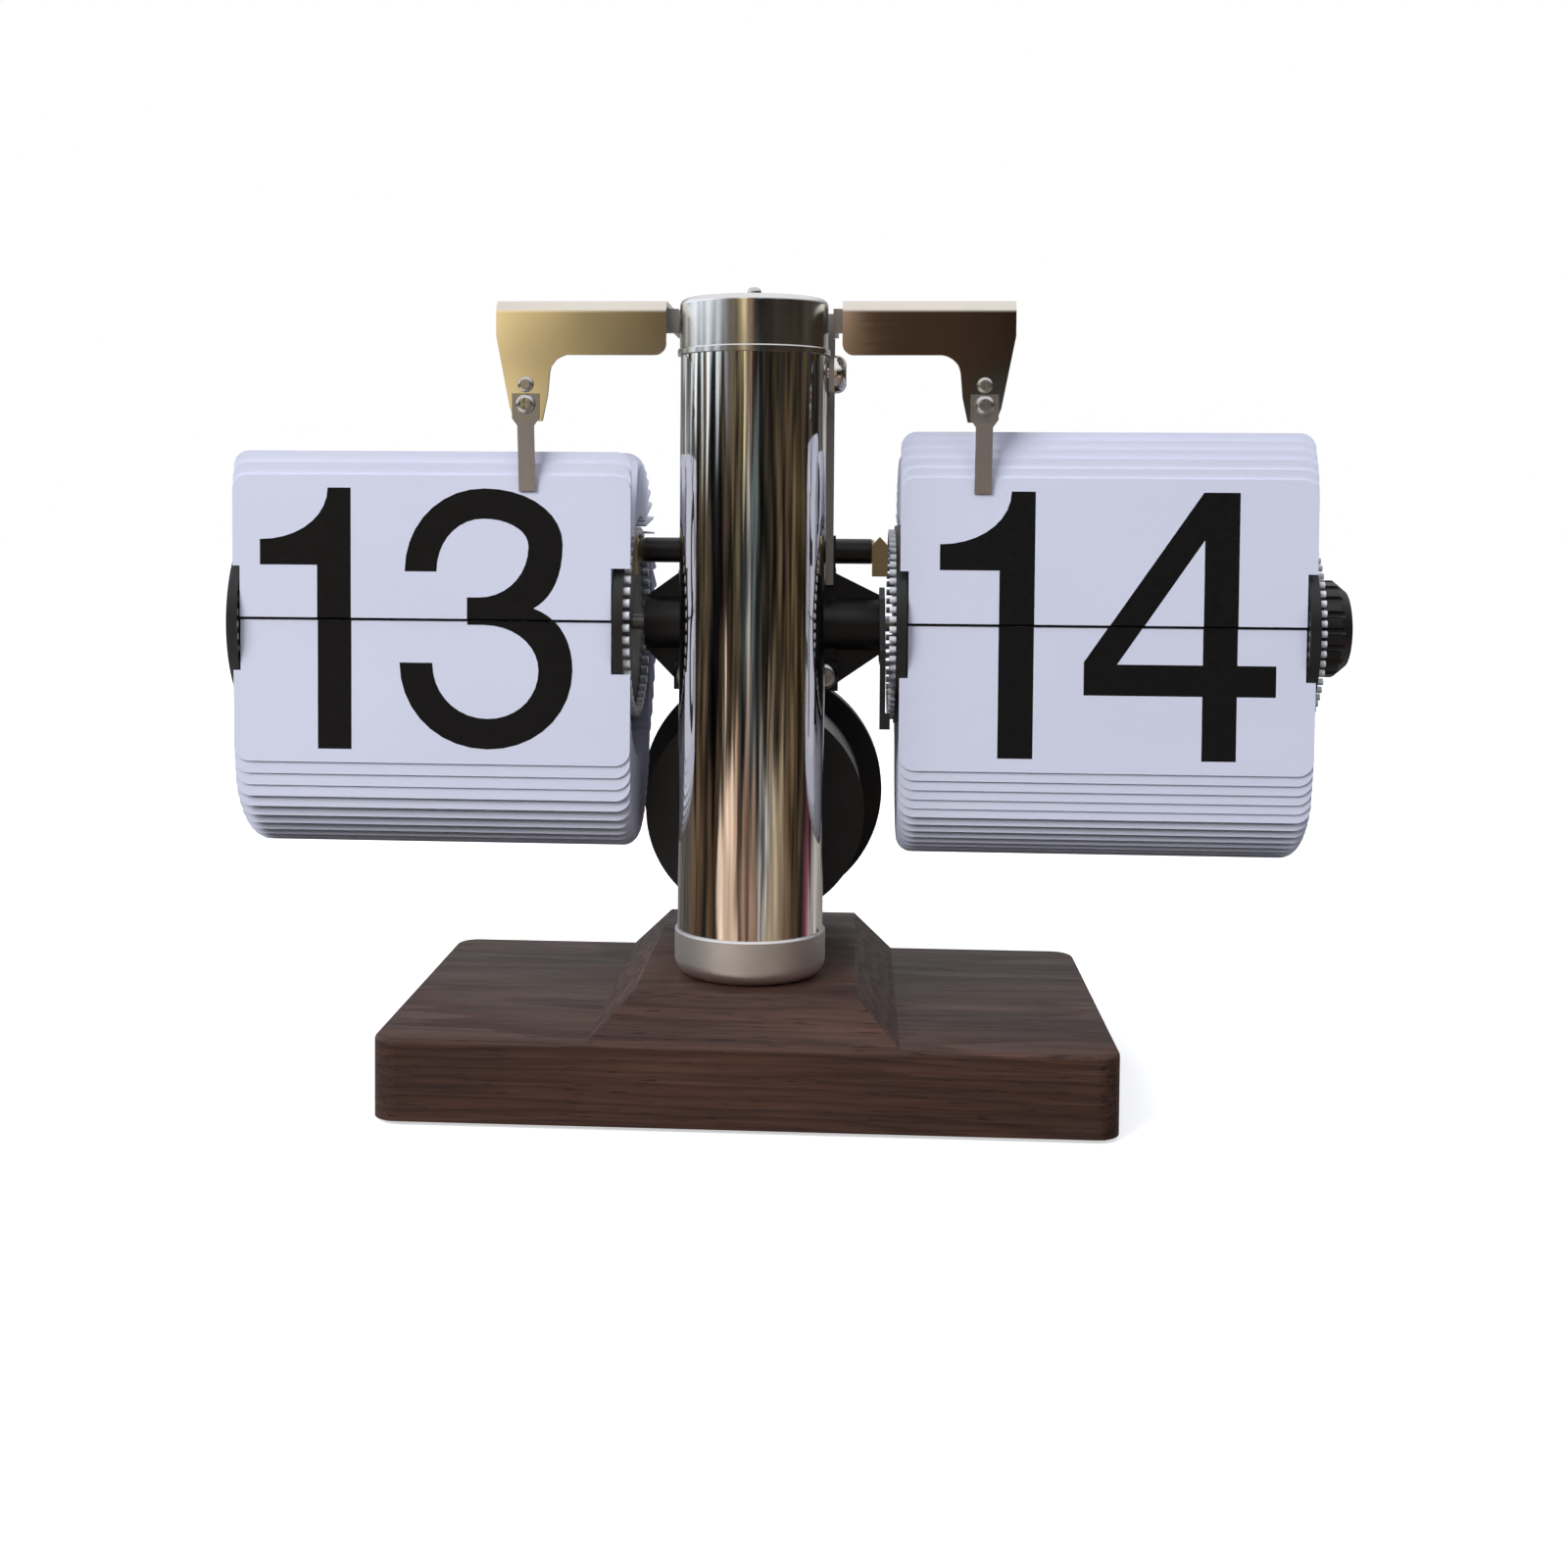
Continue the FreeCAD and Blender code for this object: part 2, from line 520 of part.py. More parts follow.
def make_spine():
    """The bent straps behind the cap, and the strip that carries them."""
    spine_back = d.spine_front + d.spine_sheet
    strap_top = d.arm_top - d.arm_sheet
    for side, name in ((-1, "strap_left"), (1, "strap_right")):
        leg, leg_out = side * d.strap_leg, side * (d.strap_leg + d.strap_sheet)
        foot_back = spine_back + d.strap_sheet
        strap = padded(name, "XY_Plane", d.strap_foot, strap_top,
                       [(leg, d.strap_front), (side * d.strap_outer, d.strap_front),
                        (side * d.strap_outer, d.strap_front + d.strap_sheet),
                        (leg_out, d.strap_front + d.strap_sheet), (leg_out, foot_back),
                        (side * 7, foot_back), (side * 7, spine_back), (leg, spine_back)])
        cut_pocket(strap, "XZ_Plane", spine_back - 0.5, foot_back + 0.5, circles,
                   [(side * 11, d.strap_foot + 2.3)], 0.9)
        keep(name, strap)

    between = d.strap_leg - 0.1
    strip = block("spine_strip", (-d.spine_half, d.spine_half), (d.spine_front, spine_back),
                  (d.spine_foot, d.strap_foot - 0.2))
    neck = block("spine_neck", (-between, between), (d.spine_front, spine_back),
                 (d.strap_foot - 1, strap_top))
    ear = block("spine_ear", (d.spine_half - 1, d.spine_half),
                (d.side_screw_y - 3, d.spine_front), (d.side_screw_z - 3.4, d.cap_foot - 0.5))
    ear_hole = rod("spine_ear_hole", "X", 1.2, 13, 17, (d.side_screw_y, d.side_screw_z))
    holes = [rod("spine_hole", "Y", 0.9, -1, 3, (side * across, height))
             for side in (-1, 1)
             for across, height in ((11, d.strap_foot + 2.3), (11.5, d.spine_foot + 1.4))]
    keep("rear_spine", cut("spine", join("spine_solid", strip, neck, ear), ear_hole, *holes))

    screws = []
    for side in (-1, 1):
        top = screw("strap_screw", 2, 1, 0.9, 2)
        at = (side * 11, spine_back + d.strap_sheet, d.strap_foot + 2.3)
        screws.append(place(top, at, "Y"))
        low = screw("spine_screw", 1.6, 0.7, 0.9, 2.2)
        screws.append(place(low, (side * 11.5, d.spine_front, d.spine_foot + 1.4), "Y", flip=True))
    keep("spine_screws", group("spine_screw_set", *screws))
    side_screw = screw("side_screw", d.side_screw_radius, 2.3, 1.2, 2.1)
    keep("column_side_screw",
         place(side_screw, (d.spine_half, d.side_screw_y, d.side_screw_z), "X"))


# ---------------------------------------------------------------- movement frame

def make_side_plate(side):
    name = "frame_left" if side < 0 else "frame_right"
    sleeve_end = side * (d.sleeve_hour if side < 0 else d.sleeve_minute)
    inner, outer = side * d.plate_inner, side * d.plate_outer
    across = (outer, inner) if side < 0 else (inner, outer)
    axis = (d.axis_y, d.axis_z)
    wall = block(name + "_wall", across, (d.plate_front, d.plate_back),
                 (d.plate_foot, d.plate_top))
    bar_ear = block(name + "_ear", across, (d.plate_front, 9.5), (d.plate_top, 106))
    spine_pad = block(name + "_pad", (-d.plate_outer, -10) if side < 0 else (10, d.plate_outer),
                      (d.spine_front + d.spine_sheet, d.plate_front + 0.5),
                      (d.spine_foot, d.plate_top))
    foot = block(name + "_foot", (-16.2, -12) if side < 0 else (12, 16.2),
                 (1.4, d.plate_front), (d.plate_foot, d.saddle_top))
    start, end = (sleeve_end, inner) if side < 0 else (inner, sleeve_end)
    sleeve = rod(name + "_sleeve", "X", d.sleeve_radius, start, end, axis)
    gusset = padded(name + "_gusset", "XZ_Plane", d.axis_y - 1, d.axis_y + 1,
                    [(outer, d.plate_top - 0.4), (sleeve_end, d.axis_z + d.sleeve_radius),
                     (sleeve_end, d.axis_z - d.sleeve_radius), (outer, d.plate_foot + 0.4)])
    bore = rod(name + "_bore", "X", d.axle_radius + d.running_gap, -30 if side < 0 else 12,
               -12 if side < 0 else 30, axis)
    hole_span = (-17, -12) if side < 0 else (12, 17)
    bar_hole = rod(name + "_bar_hole", "X", d.bar_radius, *hole_span, (d.bar_y, d.bar_z))
    lay_hole = rod(name + "_lay_hole", "X", d.thin_shaft + d.running_gap, *hole_span,
                   (d.axis_y + d.train_distance, d.axis_z))
    foot_hole = rod(name + "_foot_hole", "Y", 1, -1, 7, (side * d.frame_screw_x, d.frame_screw_z))
    spine_hole = rod(name + "_spine_hole", "Y", 0.9, 0, 3.2, (side * 11.5, d.spine_foot + 1.4))
    cover_holes = [rod(name + "_cover_hole", "Y", 0.8, 18, 26, (side * 14.25, height))
                   for height in (79, 96)]
    solid = join(name + "_solid", wall, bar_ear, spine_pad, foot, sleeve, gusset)
    keep(name, cut(name + "_cut", solid, bore, bar_hole, lay_hole, foot_hole, spine_hole,
                   *cover_holes))


def make_frame():
    for side in (-1, 1):
        make_side_plate(side)
    # the floor carries the drive shaft's bush and, under it, the saddle that holds the motor
    plate_span = (-d.plate_inner, d.plate_inner)
    floor = block("floor_plate", plate_span, (d.plate_front, d.plate_back),
                  (d.plate_foot, d.plate_foot + 1.5))
    hanger = block("floor_hanger", (-9, 9), (12, 24), (d.motor_z + 15, d.plate_foot + 0.5))
    around = rod("floor_around", "Y", d.can_radius + d.running_gap, 10, 26, (0, d.motor_z))
    bush = rod("floor_bush", "Z", d.thin_shaft + d.running_gap, 60, 90, (0, d.axis_y))
    keep("frame_floor", cut("floor", join("floor_solid", floor, hanger), around, bush))

    cover = block("cover", (-d.plate_outer, d.plate_outer), (d.plate_back, d.plate_back + 1.5),
                  (d.plate_foot, d.plate_top))
    cover_holes = [rod("cover_hole", "Y", 0.8, 22, 28, (side * 14.25, height))
                   for side in (-1, 1) for height in (79, 96)]
    keep("frame_cover", cut("cover_cut", cover, *cover_holes))

    pillars = [rod("pillar", "X", 1.5, *plate_span, spot)
               for spot in ((20.5, 80.5), (20.5, 96), (8, 97.4))]
    keep("frame_pillars", group("pillar_set", *pillars))

    saddle = block("saddle_block", (-9.5, 9.5), (-6, 1.4), (d.saddle_foot, d.saddle_top))
    ears = block("saddle_ears", (-16.2, 16.2), (0.2, 1.4), (d.saddle_foot, d.saddle_top))
    tube = rod("saddle_tube", "Z", d.tube_radius + d.running_gap, 70, 90, (0, d.column_y))
    ear_holes = [rod("saddle_hole", "Y", 1, -2, 3, (side * d.frame_screw_x, d.frame_screw_z))
                 for side in (-1, 1)]
    keep("column_saddle", cut("saddle", join("saddle_solid", saddle, ears), tube, *ear_holes))

    screws = []
    for side in (-1, 1):
        front = screw("saddle_screw", 2.6, 1.4, 1, 4.4)
        at = (side * d.frame_screw_x, 0.2, d.frame_screw_z)
        screws.append(place(front, at, "Y", flip=True))
        for height in (79, 96):
            rear = screw("cover_screw", 1.4, 0.8, 0.8, 6)
            screws.append(place(rear, (side * 14.25, d.plate_back + 1.5, height), "Y"))
    keep("frame_screws", group("frame_screw_set", *screws))

    keep("detent_bar", rod("bar", "X", d.bar_radius, -d.bar_half, d.bar_half,
                           (d.bar_y, d.bar_z)))


def make_click_springs():
    """Brass leaves from the bar's ends to the pivot tabs, and a guard below the minute cards' corners."""
    tab_face = {-1: d.hour_inner - d.tab_stand, 1: d.minute_inner - d.tab_stand}
    for side, name in ((-1, "click_spring_left"), (1, "click_spring_right")):
        root, tip = side * d.bar_half, side * (d.bar_half + 0.4)
        across = (tip, root) if side < 0 else (root, tip)
        plate = padded(name + "_plate", "YZ_Plane", *across,
                       [(8.8, 100.6), (8.8, 105.2), (-5, 105.2), (-8.2, 103.4), (-8.2, 98.4),
                        (-6.6, 98.4), (-6.6, 101.2), (-4.4, 102), (3, 100.6)])
        reach = side * (tab_face[side] - 0.35)
        leaf_span = (reach, root) if side < 0 else (root, reach)
        leaf = block(name + "_leaf", leaf_span, (-8.2, -7.8), (98.4, 103))
        ridge = (root + reach) / 2
        head = padded(name + "_head", "XZ_Plane", -8.2, -4.6,
                      [(root, 101.4), (root, 104.4), (ridge, 106), (reach, 104.4), (reach, 101.4)])
        keep(name, join(name + "_joined", plate, leaf, head))

    root, face = d.sleeve_minute - 1.2, d.sleeve_minute - 0.1
    hook = padded("card_guard_hook", "YZ_Plane", root, face,
                  [(5.2, 95.8), (0, 93.8), (-13.4, 84.6), (-13.4, 69.6), (-12, 69.6),
                   (-12, 81.6), (5.2, 81.2), (11.5, 85), (11.5, 92)])
    foot = block("card_guard_toe", (root, d.minute_inner - 1), (-13.4, -12), (69.6, 72.6))
    bore = rod("card_guard_bore", "X", d.sleeve_radius, 20, 30, (d.axis_y, d.axis_z))
    rib_slot = block("card_guard_rib_slot", (20, 30), (d.axis_y - 1.1, d.axis_y + 1.1),
                     (d.axis_z - 6.4, d.axis_z + 6.4))
    keep("card_guard", cut("card_guard_cut", join("card_guard_solid", hook, foot), bore, rib_slot))


# ---------------------------------------------------------------- drums

def make_drum(name, side, inner, outer, tab_radius, cards):
    """Two discs on a hub and an axle, with the cards' pivot tabs in a ring of holes."""
    axis = (d.axis_y, d.axis_z)
    thick = d.disc_thickness
    first = 90 - DRUM_PHASE[name]

    def along(start, end):
        return (side * end, side * start) if side < 0 else (start, end)

    for place_name, start, end in (("inner", inner, inner + thick),
                                   ("outer", outer - thick, outer)):
        low, high = along(start, end)
        disc = rod(name + "_disc", "X", d.disc_radius, low, high, axis)
        holes = doc.addObject("Part::Feature", name + "_holes")
        holes.Shape = ring_of_rods(cards, first, tab_radius.number + SCREW_FIT,
                                   low.number - 1, high.number + 1)
        bore = rod(name + "_disc_bore", "X", d.axle_radius, *along(inner - 1, outer + 1), axis)
        if place_name == "inner":  # the hub is moulded on the inner disc
            hub = rod(name + "_hub", "X", d.hub_radius, *along(inner, outer - thick), axis)
            disc = join(name + "_disc_and_hub", disc, hub)
        keep("%s_disc_%s" % (name, place_name), cut(name + "_disc_cut", disc, bore, holes))

    tabs = doc.addObject("Part::Feature", name + "_tabs")
    rings = []
    outer_stand = size(-0.1) if side < 0 else d.tab_stand
    for start, end in ((inner - d.tab_stand, inner + thick - 0.2),
                       (outer - thick + 0.2, outer + outer_stand)):
        low, high = along(start, end)
        rings.append(ring_of_rods(cards, first, tab_radius.number, low.number, high.number))
    tabs.Shape = Part.Compound(rings)
    keep(name + "_pivot_tabs", tabs)


def ring_of_rods(count, first, radius, low, high):
    """Rods along X on the circle of the card hinges, one for each card."""
    count = int(count.number)
    rods = []
    for index in range(count):
        angle = math.radians(first + 360 * index / count)
        y = d.axis_y.number - d.hinge_radius.number * math.sin(angle)
        z = d.axis_z.number + d.hinge_radius.number * math.cos(angle)
        start = FreeCAD.Vector(low, y, z)
        rods.append(Part.makeCylinder(radius, high - low, start, FreeCAD.Vector(1, 0, 0)))
    return Part.Compound(rods)


def first_hinge_angle(cards):
    """The angle of the upper front card's hinge above the drum's axis, seen from the side."""
    spacing = 2 * d.hinge_radius.number * math.sin(math.pi / cards.number)
    rise = d.card_split.number + spacing / 2 - d.axis_z.number
    return math.degrees(math.asin(rise / d.hinge_radius.number))


DRUM_PHASE = {"hour": first_hinge_angle(d.hour_cards), "minute": first_hinge_angle(d.minute_cards)}


def make_drums():
    make_drum("hour", -1, d.hour_inner, d.hour_outer, d.hour_tab_radius, d.hour_cards)
    make_drum("minute", 1, d.minute_inner, d.minute_outer, d.minute_tab_radius, d.minute_cards)
    axis = (d.axis_y, d.axis_z)
    step = d.gear_start + d.gear_face + 0.2
    keep("hour_axle", join("hour_rods",
                           rod("hour_rod", "X", d.axle_radius, -d.hour_outer - 0.6, -step, axis),
                           rod("hour_end", "X", THIN_END, -step, -7, axis)))
    keep("minute_axle", join("minute_rods",
                             rod("minute_rod", "X", d.axle_radius, step, d.knob_end + 0.8, axis),
                             rod("minute_end", "X", THIN_END, 1.9, step, axis)))

    width = d.knob_end - d.knob_start
    profile = [(0, 0), (d.knob_radius, 0), (d.knob_radius, width - 2.4),
               (d.knob_radius - 2, width), (0, width)]
    wheel = place(turned("knob_wheel", profile), (d.knob_start, *axis), "X")
    boss = rod("knob_boss", "X", 4, d.minute_outer, d.knob_start, axis)
    flutes = []
    flute_count = int(d.knob_flutes.number)
    for index in range(flute_count):
        angle = 2 * math.pi * index / flute_count
        spot = (d.axis_y + d.knob_radius * math.cos(angle), d.axis_z + d.knob_radius * math.sin(angle))
        flutes.append(rod("knob_flute", "X", 0.75, d.knob_start - 1, d.knob_end + 1, spot))
    bore = rod("knob_bore", "X", d.axle_radius, d.minute_outer - 1, d.knob_end + 2, axis)
    dish = rod("knob_dish", "X", d.knob_radius - 2.5, d.knob_end - 0.8, d.knob_end + 1, axis)
    keep("setting_knob", cut("knob", join("knob_solid", wheel, boss), bore, dish, *flutes))


# ---------------------------------------------------------------- number cards

def card_shape(side, inner, outer, cards):
    """One card lying in the XZ plane, with its hinge line on the X axis."""
    spacing = 2 * d.hinge_radius.number * math.sin(math.pi / cards.number)
    tail = (spacing - d.split_gap.number) / 2
    length = d.card_half_height.number - d.split_gap.number / 2 - tail
    notch_top = d.notch_height.number - tail
    corner = d.card_corner.number
    edge_in, edge_out = inner.number, outer.number
    notch_in = (d.hour_inner if side < 0 else d.minute_inner).number + d.disc_thickness.number + 0.3
    notch_out = (d.hour_outer if side < 0 else d.minute_outer).number - d.disc_thickness.number - 0.3

    def spot(x, z):
        return FreeCAD.Vector(side * x, -d.card_thickness.number / 2, z)

    def line(start, end):
        return Part.LineSegment(spot(*start), spot(*end)).toShape()

    def arc(centre_x, centre_z, start_angle):
        angles = [math.radians(start_angle + step) for step in (0, 45, 90)]
        points = [spot(centre_x + corner * math.cos(angle), centre_z + corner * math.sin(angle))
                  for angle in angles]
        return Part.Arc(*points).toShape()

    corners = [(edge_in, length - corner), (edge_in, notch_top), (notch_in, notch_top),
               (notch_in, -tail), (notch_out, -tail), (notch_out, notch_top),
               (edge_out, notch_top), (edge_out, length - corner)]
    edges = [line(start, end) for start, end in zip(corners, corners[1:])]
    edges.append(arc(edge_out - corner, length - corner, 0))
    edges.append(line((edge_out - corner, length), (edge_in + corner, length)))
    edges.append(arc(edge_in + corner, length - corner, 90))
    face = Part.Face(Part.Wire(edges))
    return face.extrude(FreeCAD.Vector(0, d.card_thickness.number, 0))


def card_places(name, cards, standing):
    """Each card's hinge point and its tilt back from upright, from the front card over the top.

    The first few stand up behind the front card. The rest lie back like shingles, each on the
    next, until they hang straight down. Those under the front hang one behind the other.
    """
    count = int(cards.number)
    radius, pitch = d.hinge_radius.number, d.card_thickness.number + d.card_gap.number
    step = 360 / count
    lean = math.degrees(math.asin(pitch / (2 * radius * math.sin(math.pi / count)))) - step / 2
    places = []
    for index in range(count):
        angle = DRUM_PHASE[name] + step * index
        y = d.axis_y.number - radius * math.cos(math.radians(angle))
        z = d.axis_z.number + radius * math.sin(math.radians(angle))
        tilt = 0 if index <= standing else min(angle - lean, 180)
        places.append([y, z, tilt])
    front = d.card_front.number + d.card_thickness.number / 2
    for index in range(standing + 1):
        places[index][0] = max(places[index][0], front + pitch * index)
    for rank in range(1, 6):
        places[-rank][0] = max(places[-rank][0], front + pitch * rank)
    return places


def placed_card(shape, hinge_y, hinge_z, tilt):
    card = shape.copy()
    card.rotate(FreeCAD.Vector(0, 0, 0), FreeCAD.Vector(1, 0, 0), -tilt)
    card.translate(FreeCAD.Vector(0, hinge_y, hinge_z))
    return card


def make_cards(name, side, inner, outer, cards, standing):
    shape = card_shape(side, inner, outer, cards)
    placed = [placed_card(shape, *spot) for spot in card_places(name, cards, standing)]
    hanging = int(cards.number) - int(cards.number) // 4
    groups = {"_card_front": placed[:1], "_cards_upper": placed[1:hanging],
              "_cards_lower": placed[hanging:]}
    for suffix, solids in groups.items():
        feature = doc.addObject("Part::Feature", name + suffix)
        feature.Shape = Part.Compound(solids) if len(solids) > 1 else solids[0]
        keep(name + suffix, feature)


# ---------------------------------------------------------------- gears

def spur_outline(teeth, module, turn, addendum=0.8, dedendum=1.1, thickness=0.42):
    """Corner points of a gear with straight-sided teeth that narrow towards the tip."""
    pitch_radius = teeth * module / 2
    pitch_angle = 2 * math.pi / teeth
    points = []
    for index in range(teeth):
        middle = math.radians(turn) + index * pitch_angle
        for radius, share in ((pitch_radius - dedendum * module, -0.62),
                              (pitch_radius, -0.5), (pitch_radius + addendum * module, -0.27),
                              (pitch_radius + addendum * module, 0.27), (pitch_radius, 0.5),
                              (pitch_radius - dedendum * module, 0.62)):
            angle = middle + share * thickness * pitch_angle
            points.append((radius * math.cos(angle), radius * math.sin(angle)))
    return points


def spur_gear(teeth, module, turn, width, bore):
    """A gear along +Z from the origin."""
    points = [FreeCAD.Vector(x, y, 0) for x, y in spur_outline(teeth, module, turn)]
    face = Part.Face(Part.makePolygon(points + points[:1]))
    solid = face.extrude(FreeCAD.Vector(0, 0, width))
    if bore:
        solid = solid.cut(Part.makeCylinder(bore, width + 2, FreeCAD.Vector(0, 0, -1)))
    return solid


def crown_gear(teeth, module, turn, disc, bore):
    """A disc from z = 0 down, with teeth on its upper face that point along +Z."""
    radius = teeth * module / 2
    inner, outer = radius - 1.7 * module, radius + 1.7 * module
    solid = Part.makeCylinder(outer, disc, FreeCAD.Vector(0, 0, -disc))
    foot, tip, height = 0.62 * 0.42, 0.27 * 0.42, 2.1 * module
    for index in range(teeth):
        middle = math.radians(turn) + index * 2 * math.pi / teeth
        rings = []
        for reach in (inner, outer - 0.01):
            corners = []
            for share, level in ((-foot, -0.05), (-tip, height), (tip, height), (foot, -0.05)):
                across = share * 2 * math.pi / teeth * reach
                corner = FreeCAD.Vector(reach, across, level)
                corners.append(corner)
            rings.append(Part.makePolygon(corners + corners[:1]))
        tooth = Part.makeLoft(rings, True, True)
        tooth.rotate(FreeCAD.Vector(0, 0, 0), FreeCAD.Vector(0, 0, 1), math.degrees(middle))
        solid = solid.fuse(tooth)
    if bore:
        solid = solid.cut(Part.makeCylinder(bore, 20, FreeCAD.Vector(0, 0, -10)))
    return solid.removeSplitter()


def along_x(shape, x, y, z, flip=False):
    """Lay a shape that stands along Z down along X, with its own +X to the back."""
    turned_shape = shape.copy()
    origin = FreeCAD.Vector(0, 0, 0)
    if flip:
        turned_shape.rotate(origin, FreeCAD.Vector(1, 0, 0), 180)
    turned_shape.rotate(origin, FreeCAD.Vector(0, 0, 1), 90)
    turned_shape.rotate(origin, FreeCAD.Vector(0, 1, 0), 90)
    turned_shape.translate(FreeCAD.Vector(x, y, z))
    return turned_shape


def feature(label, shape):
    item = doc.addObject("Part::Feature", label)
    item.Shape = shape
    return keep(label, item)


def along_y(shape, x, y, z):
    """Lay a shape that stands along Z down along Y, with its own +X to the right."""
    laid = shape.copy()
    laid.rotate(FreeCAD.Vector(0, 0, 0), FreeCAD.Vector(1, 0, 0), -90)
    laid.translate(FreeCAD.Vector(x, y, z))
    return laid


def bar_along(direction, radius, length, x, y, z):
    return Part.makeCylinder(radius, length, FreeCAD.Vector(x, y, z), FreeCAD.Vector(*direction))


def make_motion_work():
    """Minute axle to hour axle through a lay shaft: 10 to 40 teeth, then 8 to 48."""
    y, z = d.axis_y.number, d.axis_z.number
    lay_y = y + d.train_distance.number
    face, start = d.gear_face.number, d.gear_start.number
    pinion_teeth, wheel_teeth = int(d.minute_pinion_teeth.number), int(d.lay_wheel_teeth.number)
    small_teeth, hour_teeth = int(d.lay_pinion_teeth.number), int(d.hour_wheel_teeth.number)
    minute_module = 2 * d.train_distance.number / (pinion_teeth + wheel_teeth)
    hour_module = 2 * d.train_distance.number / (small_teeth + hour_teeth)
    thin = d.thin_shaft.number
    feature("hour_wheel", along_x(spur_gear(hour_teeth, hour_module, 0, face, THIN_END),
                                  -start - face, y, z))
    lay_wheel = spur_gear(wheel_teeth, minute_module, 180 / wheel_teeth, face, thin)
    feature("lay_wheel", along_x(lay_wheel, start, lay_y, z))
    lay_pinion = spur_gear(small_teeth, hour_module, 180 / small_teeth, face, 0)
    lay_pinion = along_x(lay_pinion, -start - face, lay_y, z)
    reach = d.plate_outer.number + 0.4
    shaft = bar_along((1, 0, 0), thin, 2 * reach, -reach, lay_y, z)
    feature("lay_arbor", shaft.fuse(lay_pinion))
    return spur_gear(pinion_teeth, minute_module, 0, face, 0), start


def make_drive():
    """The motor turns an upright shaft by a crown wheel, and that turns the minute axle."""
    y, z, motor_z = d.axis_y.number, d.axis_z.number, d.motor_z.number
    thin = d.thin_shaft.number
    module, crown_teeth = d.crown_module.number, int(d.crown_teeth.number)
    drive_teeth = int(d.drive_pinion_teeth.number)
    crown_x = module * (drive_teeth / 2 + 1.25)
    minute_pinion, pinion_x = make_motion_work()
    crown = along_x(crown_gear(crown_teeth, module, 0, 1, 0), crown_x, y, z, flip=True)
    spacer = bar_along((1, 0, 0), 1.3, pinion_x - crown_x, crown_x, y, z)
    moulding = crown.fuse([spacer, along_x(minute_pinion, pinion_x, y, z)])
    feature("minute_gear", moulding.cut(bar_along((1, 0, 0), THIN_END, 20, 0, y, z)))

    motor_module = d.motor_module.number
    motor_crown_teeth = int(d.motor_crown_teeth.number)
    rotor_teeth = int(d.rotor_pinion_teeth.number)
    crown_foot = motor_z + motor_module * (rotor_teeth / 2 + 1.25)
    mesh_z = z - module * crown_teeth / 2
    pinion_face = d.pinion_face.number
    low_crown = crown_gear(motor_crown_teeth, motor_module, 0, 1, 0)
    low_crown.rotate(FreeCAD.Vector(0, 0, 0), FreeCAD.Vector(1, 0, 0), 180)
    low_crown.translate(FreeCAD.Vector(0, y, crown_foot))
    top_pinion = spur_gear(drive_teeth, module, 180 / drive_teeth, pinion_face, 0)
    top_pinion.translate(FreeCAD.Vector(0, y, mesh_z - pinion_face / 2))
    stem = bar_along((0, 0, 1), thin, mesh_z - crown_foot, 0, y, crown_foot)
    feature("drive_shaft", stem.fuse([low_crown, top_pinion]))


def make_rotor_shaft():
    """The motor's shaft with the pinion that meets the upright shaft's lower crown."""
    motor_module, motor_z, thin = d.motor_module.number, d.motor_z.number, d.thin_shaft.number
    mesh_y = d.axis_y.number + motor_module * d.motor_crown_teeth.number / 2
    rotor_teeth, pinion_face = int(d.rotor_pinion_teeth.number), d.pinion_face.number
    rotor_pinion = spur_gear(rotor_teeth, motor_module, -90, pinion_face, 0)
    rotor_pinion = along_y(rotor_pinion, 0, mesh_y - pinion_face / 2, motor_z)
    rotor_start, rotor_end = mesh_y - 1, d.can_end.number + 1.5
    axle = bar_along((0, 1, 0), thin, rotor_end - rotor_start, 0, rotor_start, motor_z)
    shaft = doc.addObject("Part::Feature", "rotor_shaft")
    shaft.Shape = axle.fuse(rotor_pinion)
    return shaft


def make_motor():
    """A can motor across the back of the column: cover, can, coil, magnet, board, housing."""
    centre = (0, d.motor_z)
    thin = d.thin_shaft
    cover_back = d.motor_front + d.motor_cover
    keep("motor_cover", rod("cover_disc", "Y", d.motor_cover_radius, d.motor_front, cover_back,
                            centre))
    can = rod("can_outer", "Y", d.can_radius, cover_back, d.can_end, centre)
    inside = rod("can_inner", "Y", d.can_radius - d.can_wall, cover_back - 1, d.can_end + 1, centre)
    shaft_hole = rod("can_hole", "Z", thin + 0.4, d.motor_z + 15, d.motor_z + 25, (0, d.axis_y))
    keep("motor_can", cut("can", can, inside, shaft_hole))
    bore = d.can_radius - d.can_wall - 0.1
    coil_front = d.magnet_front - 1.5
    coil = rod("coil_outer", "Y", bore, coil_front, d.magnet_back + 0.5, centre)
    coil_bore = rod("coil_bore", "Y", d.magnet_radius + 0.4, coil_front - 1, d.magnet_back + 2,
                    centre)
    keep("motor_coil", cut("coil_ring", coil, coil_bore))
    magnet = rod("magnet_outer", "Y", d.magnet_radius, d.magnet_front, d.magnet_back, centre)
    magnet_bore = rod("magnet_bore", "Y", thin, d.magnet_front - 1, d.magnet_back + 1, centre)
    keep("motor_rotor", group("rotor", cut("magnet", magnet, magnet_bore), make_rotor_shaft()))
    board = rod("board_disc", "Y", bore, d.magnet_back + 0.8, d.magnet_back + 2, centre)
    board_hole = rod("board_hole", "Y", thin + 0.7, d.magnet_back, d.magnet_back + 3, centre)
    keep("circuit_board", cut("board", board, board_hole))
    housing = rod("housing_disc", "Y", d.housing_radius, d.can_end, d.housing_end, centre)
    bearing = rod("housing_bearing", "Y", thin + d.running_gap, d.can_end - 1, d.can_end + 2,
                  centre)
    keep("motor_housing", cut("housing", housing, bearing))


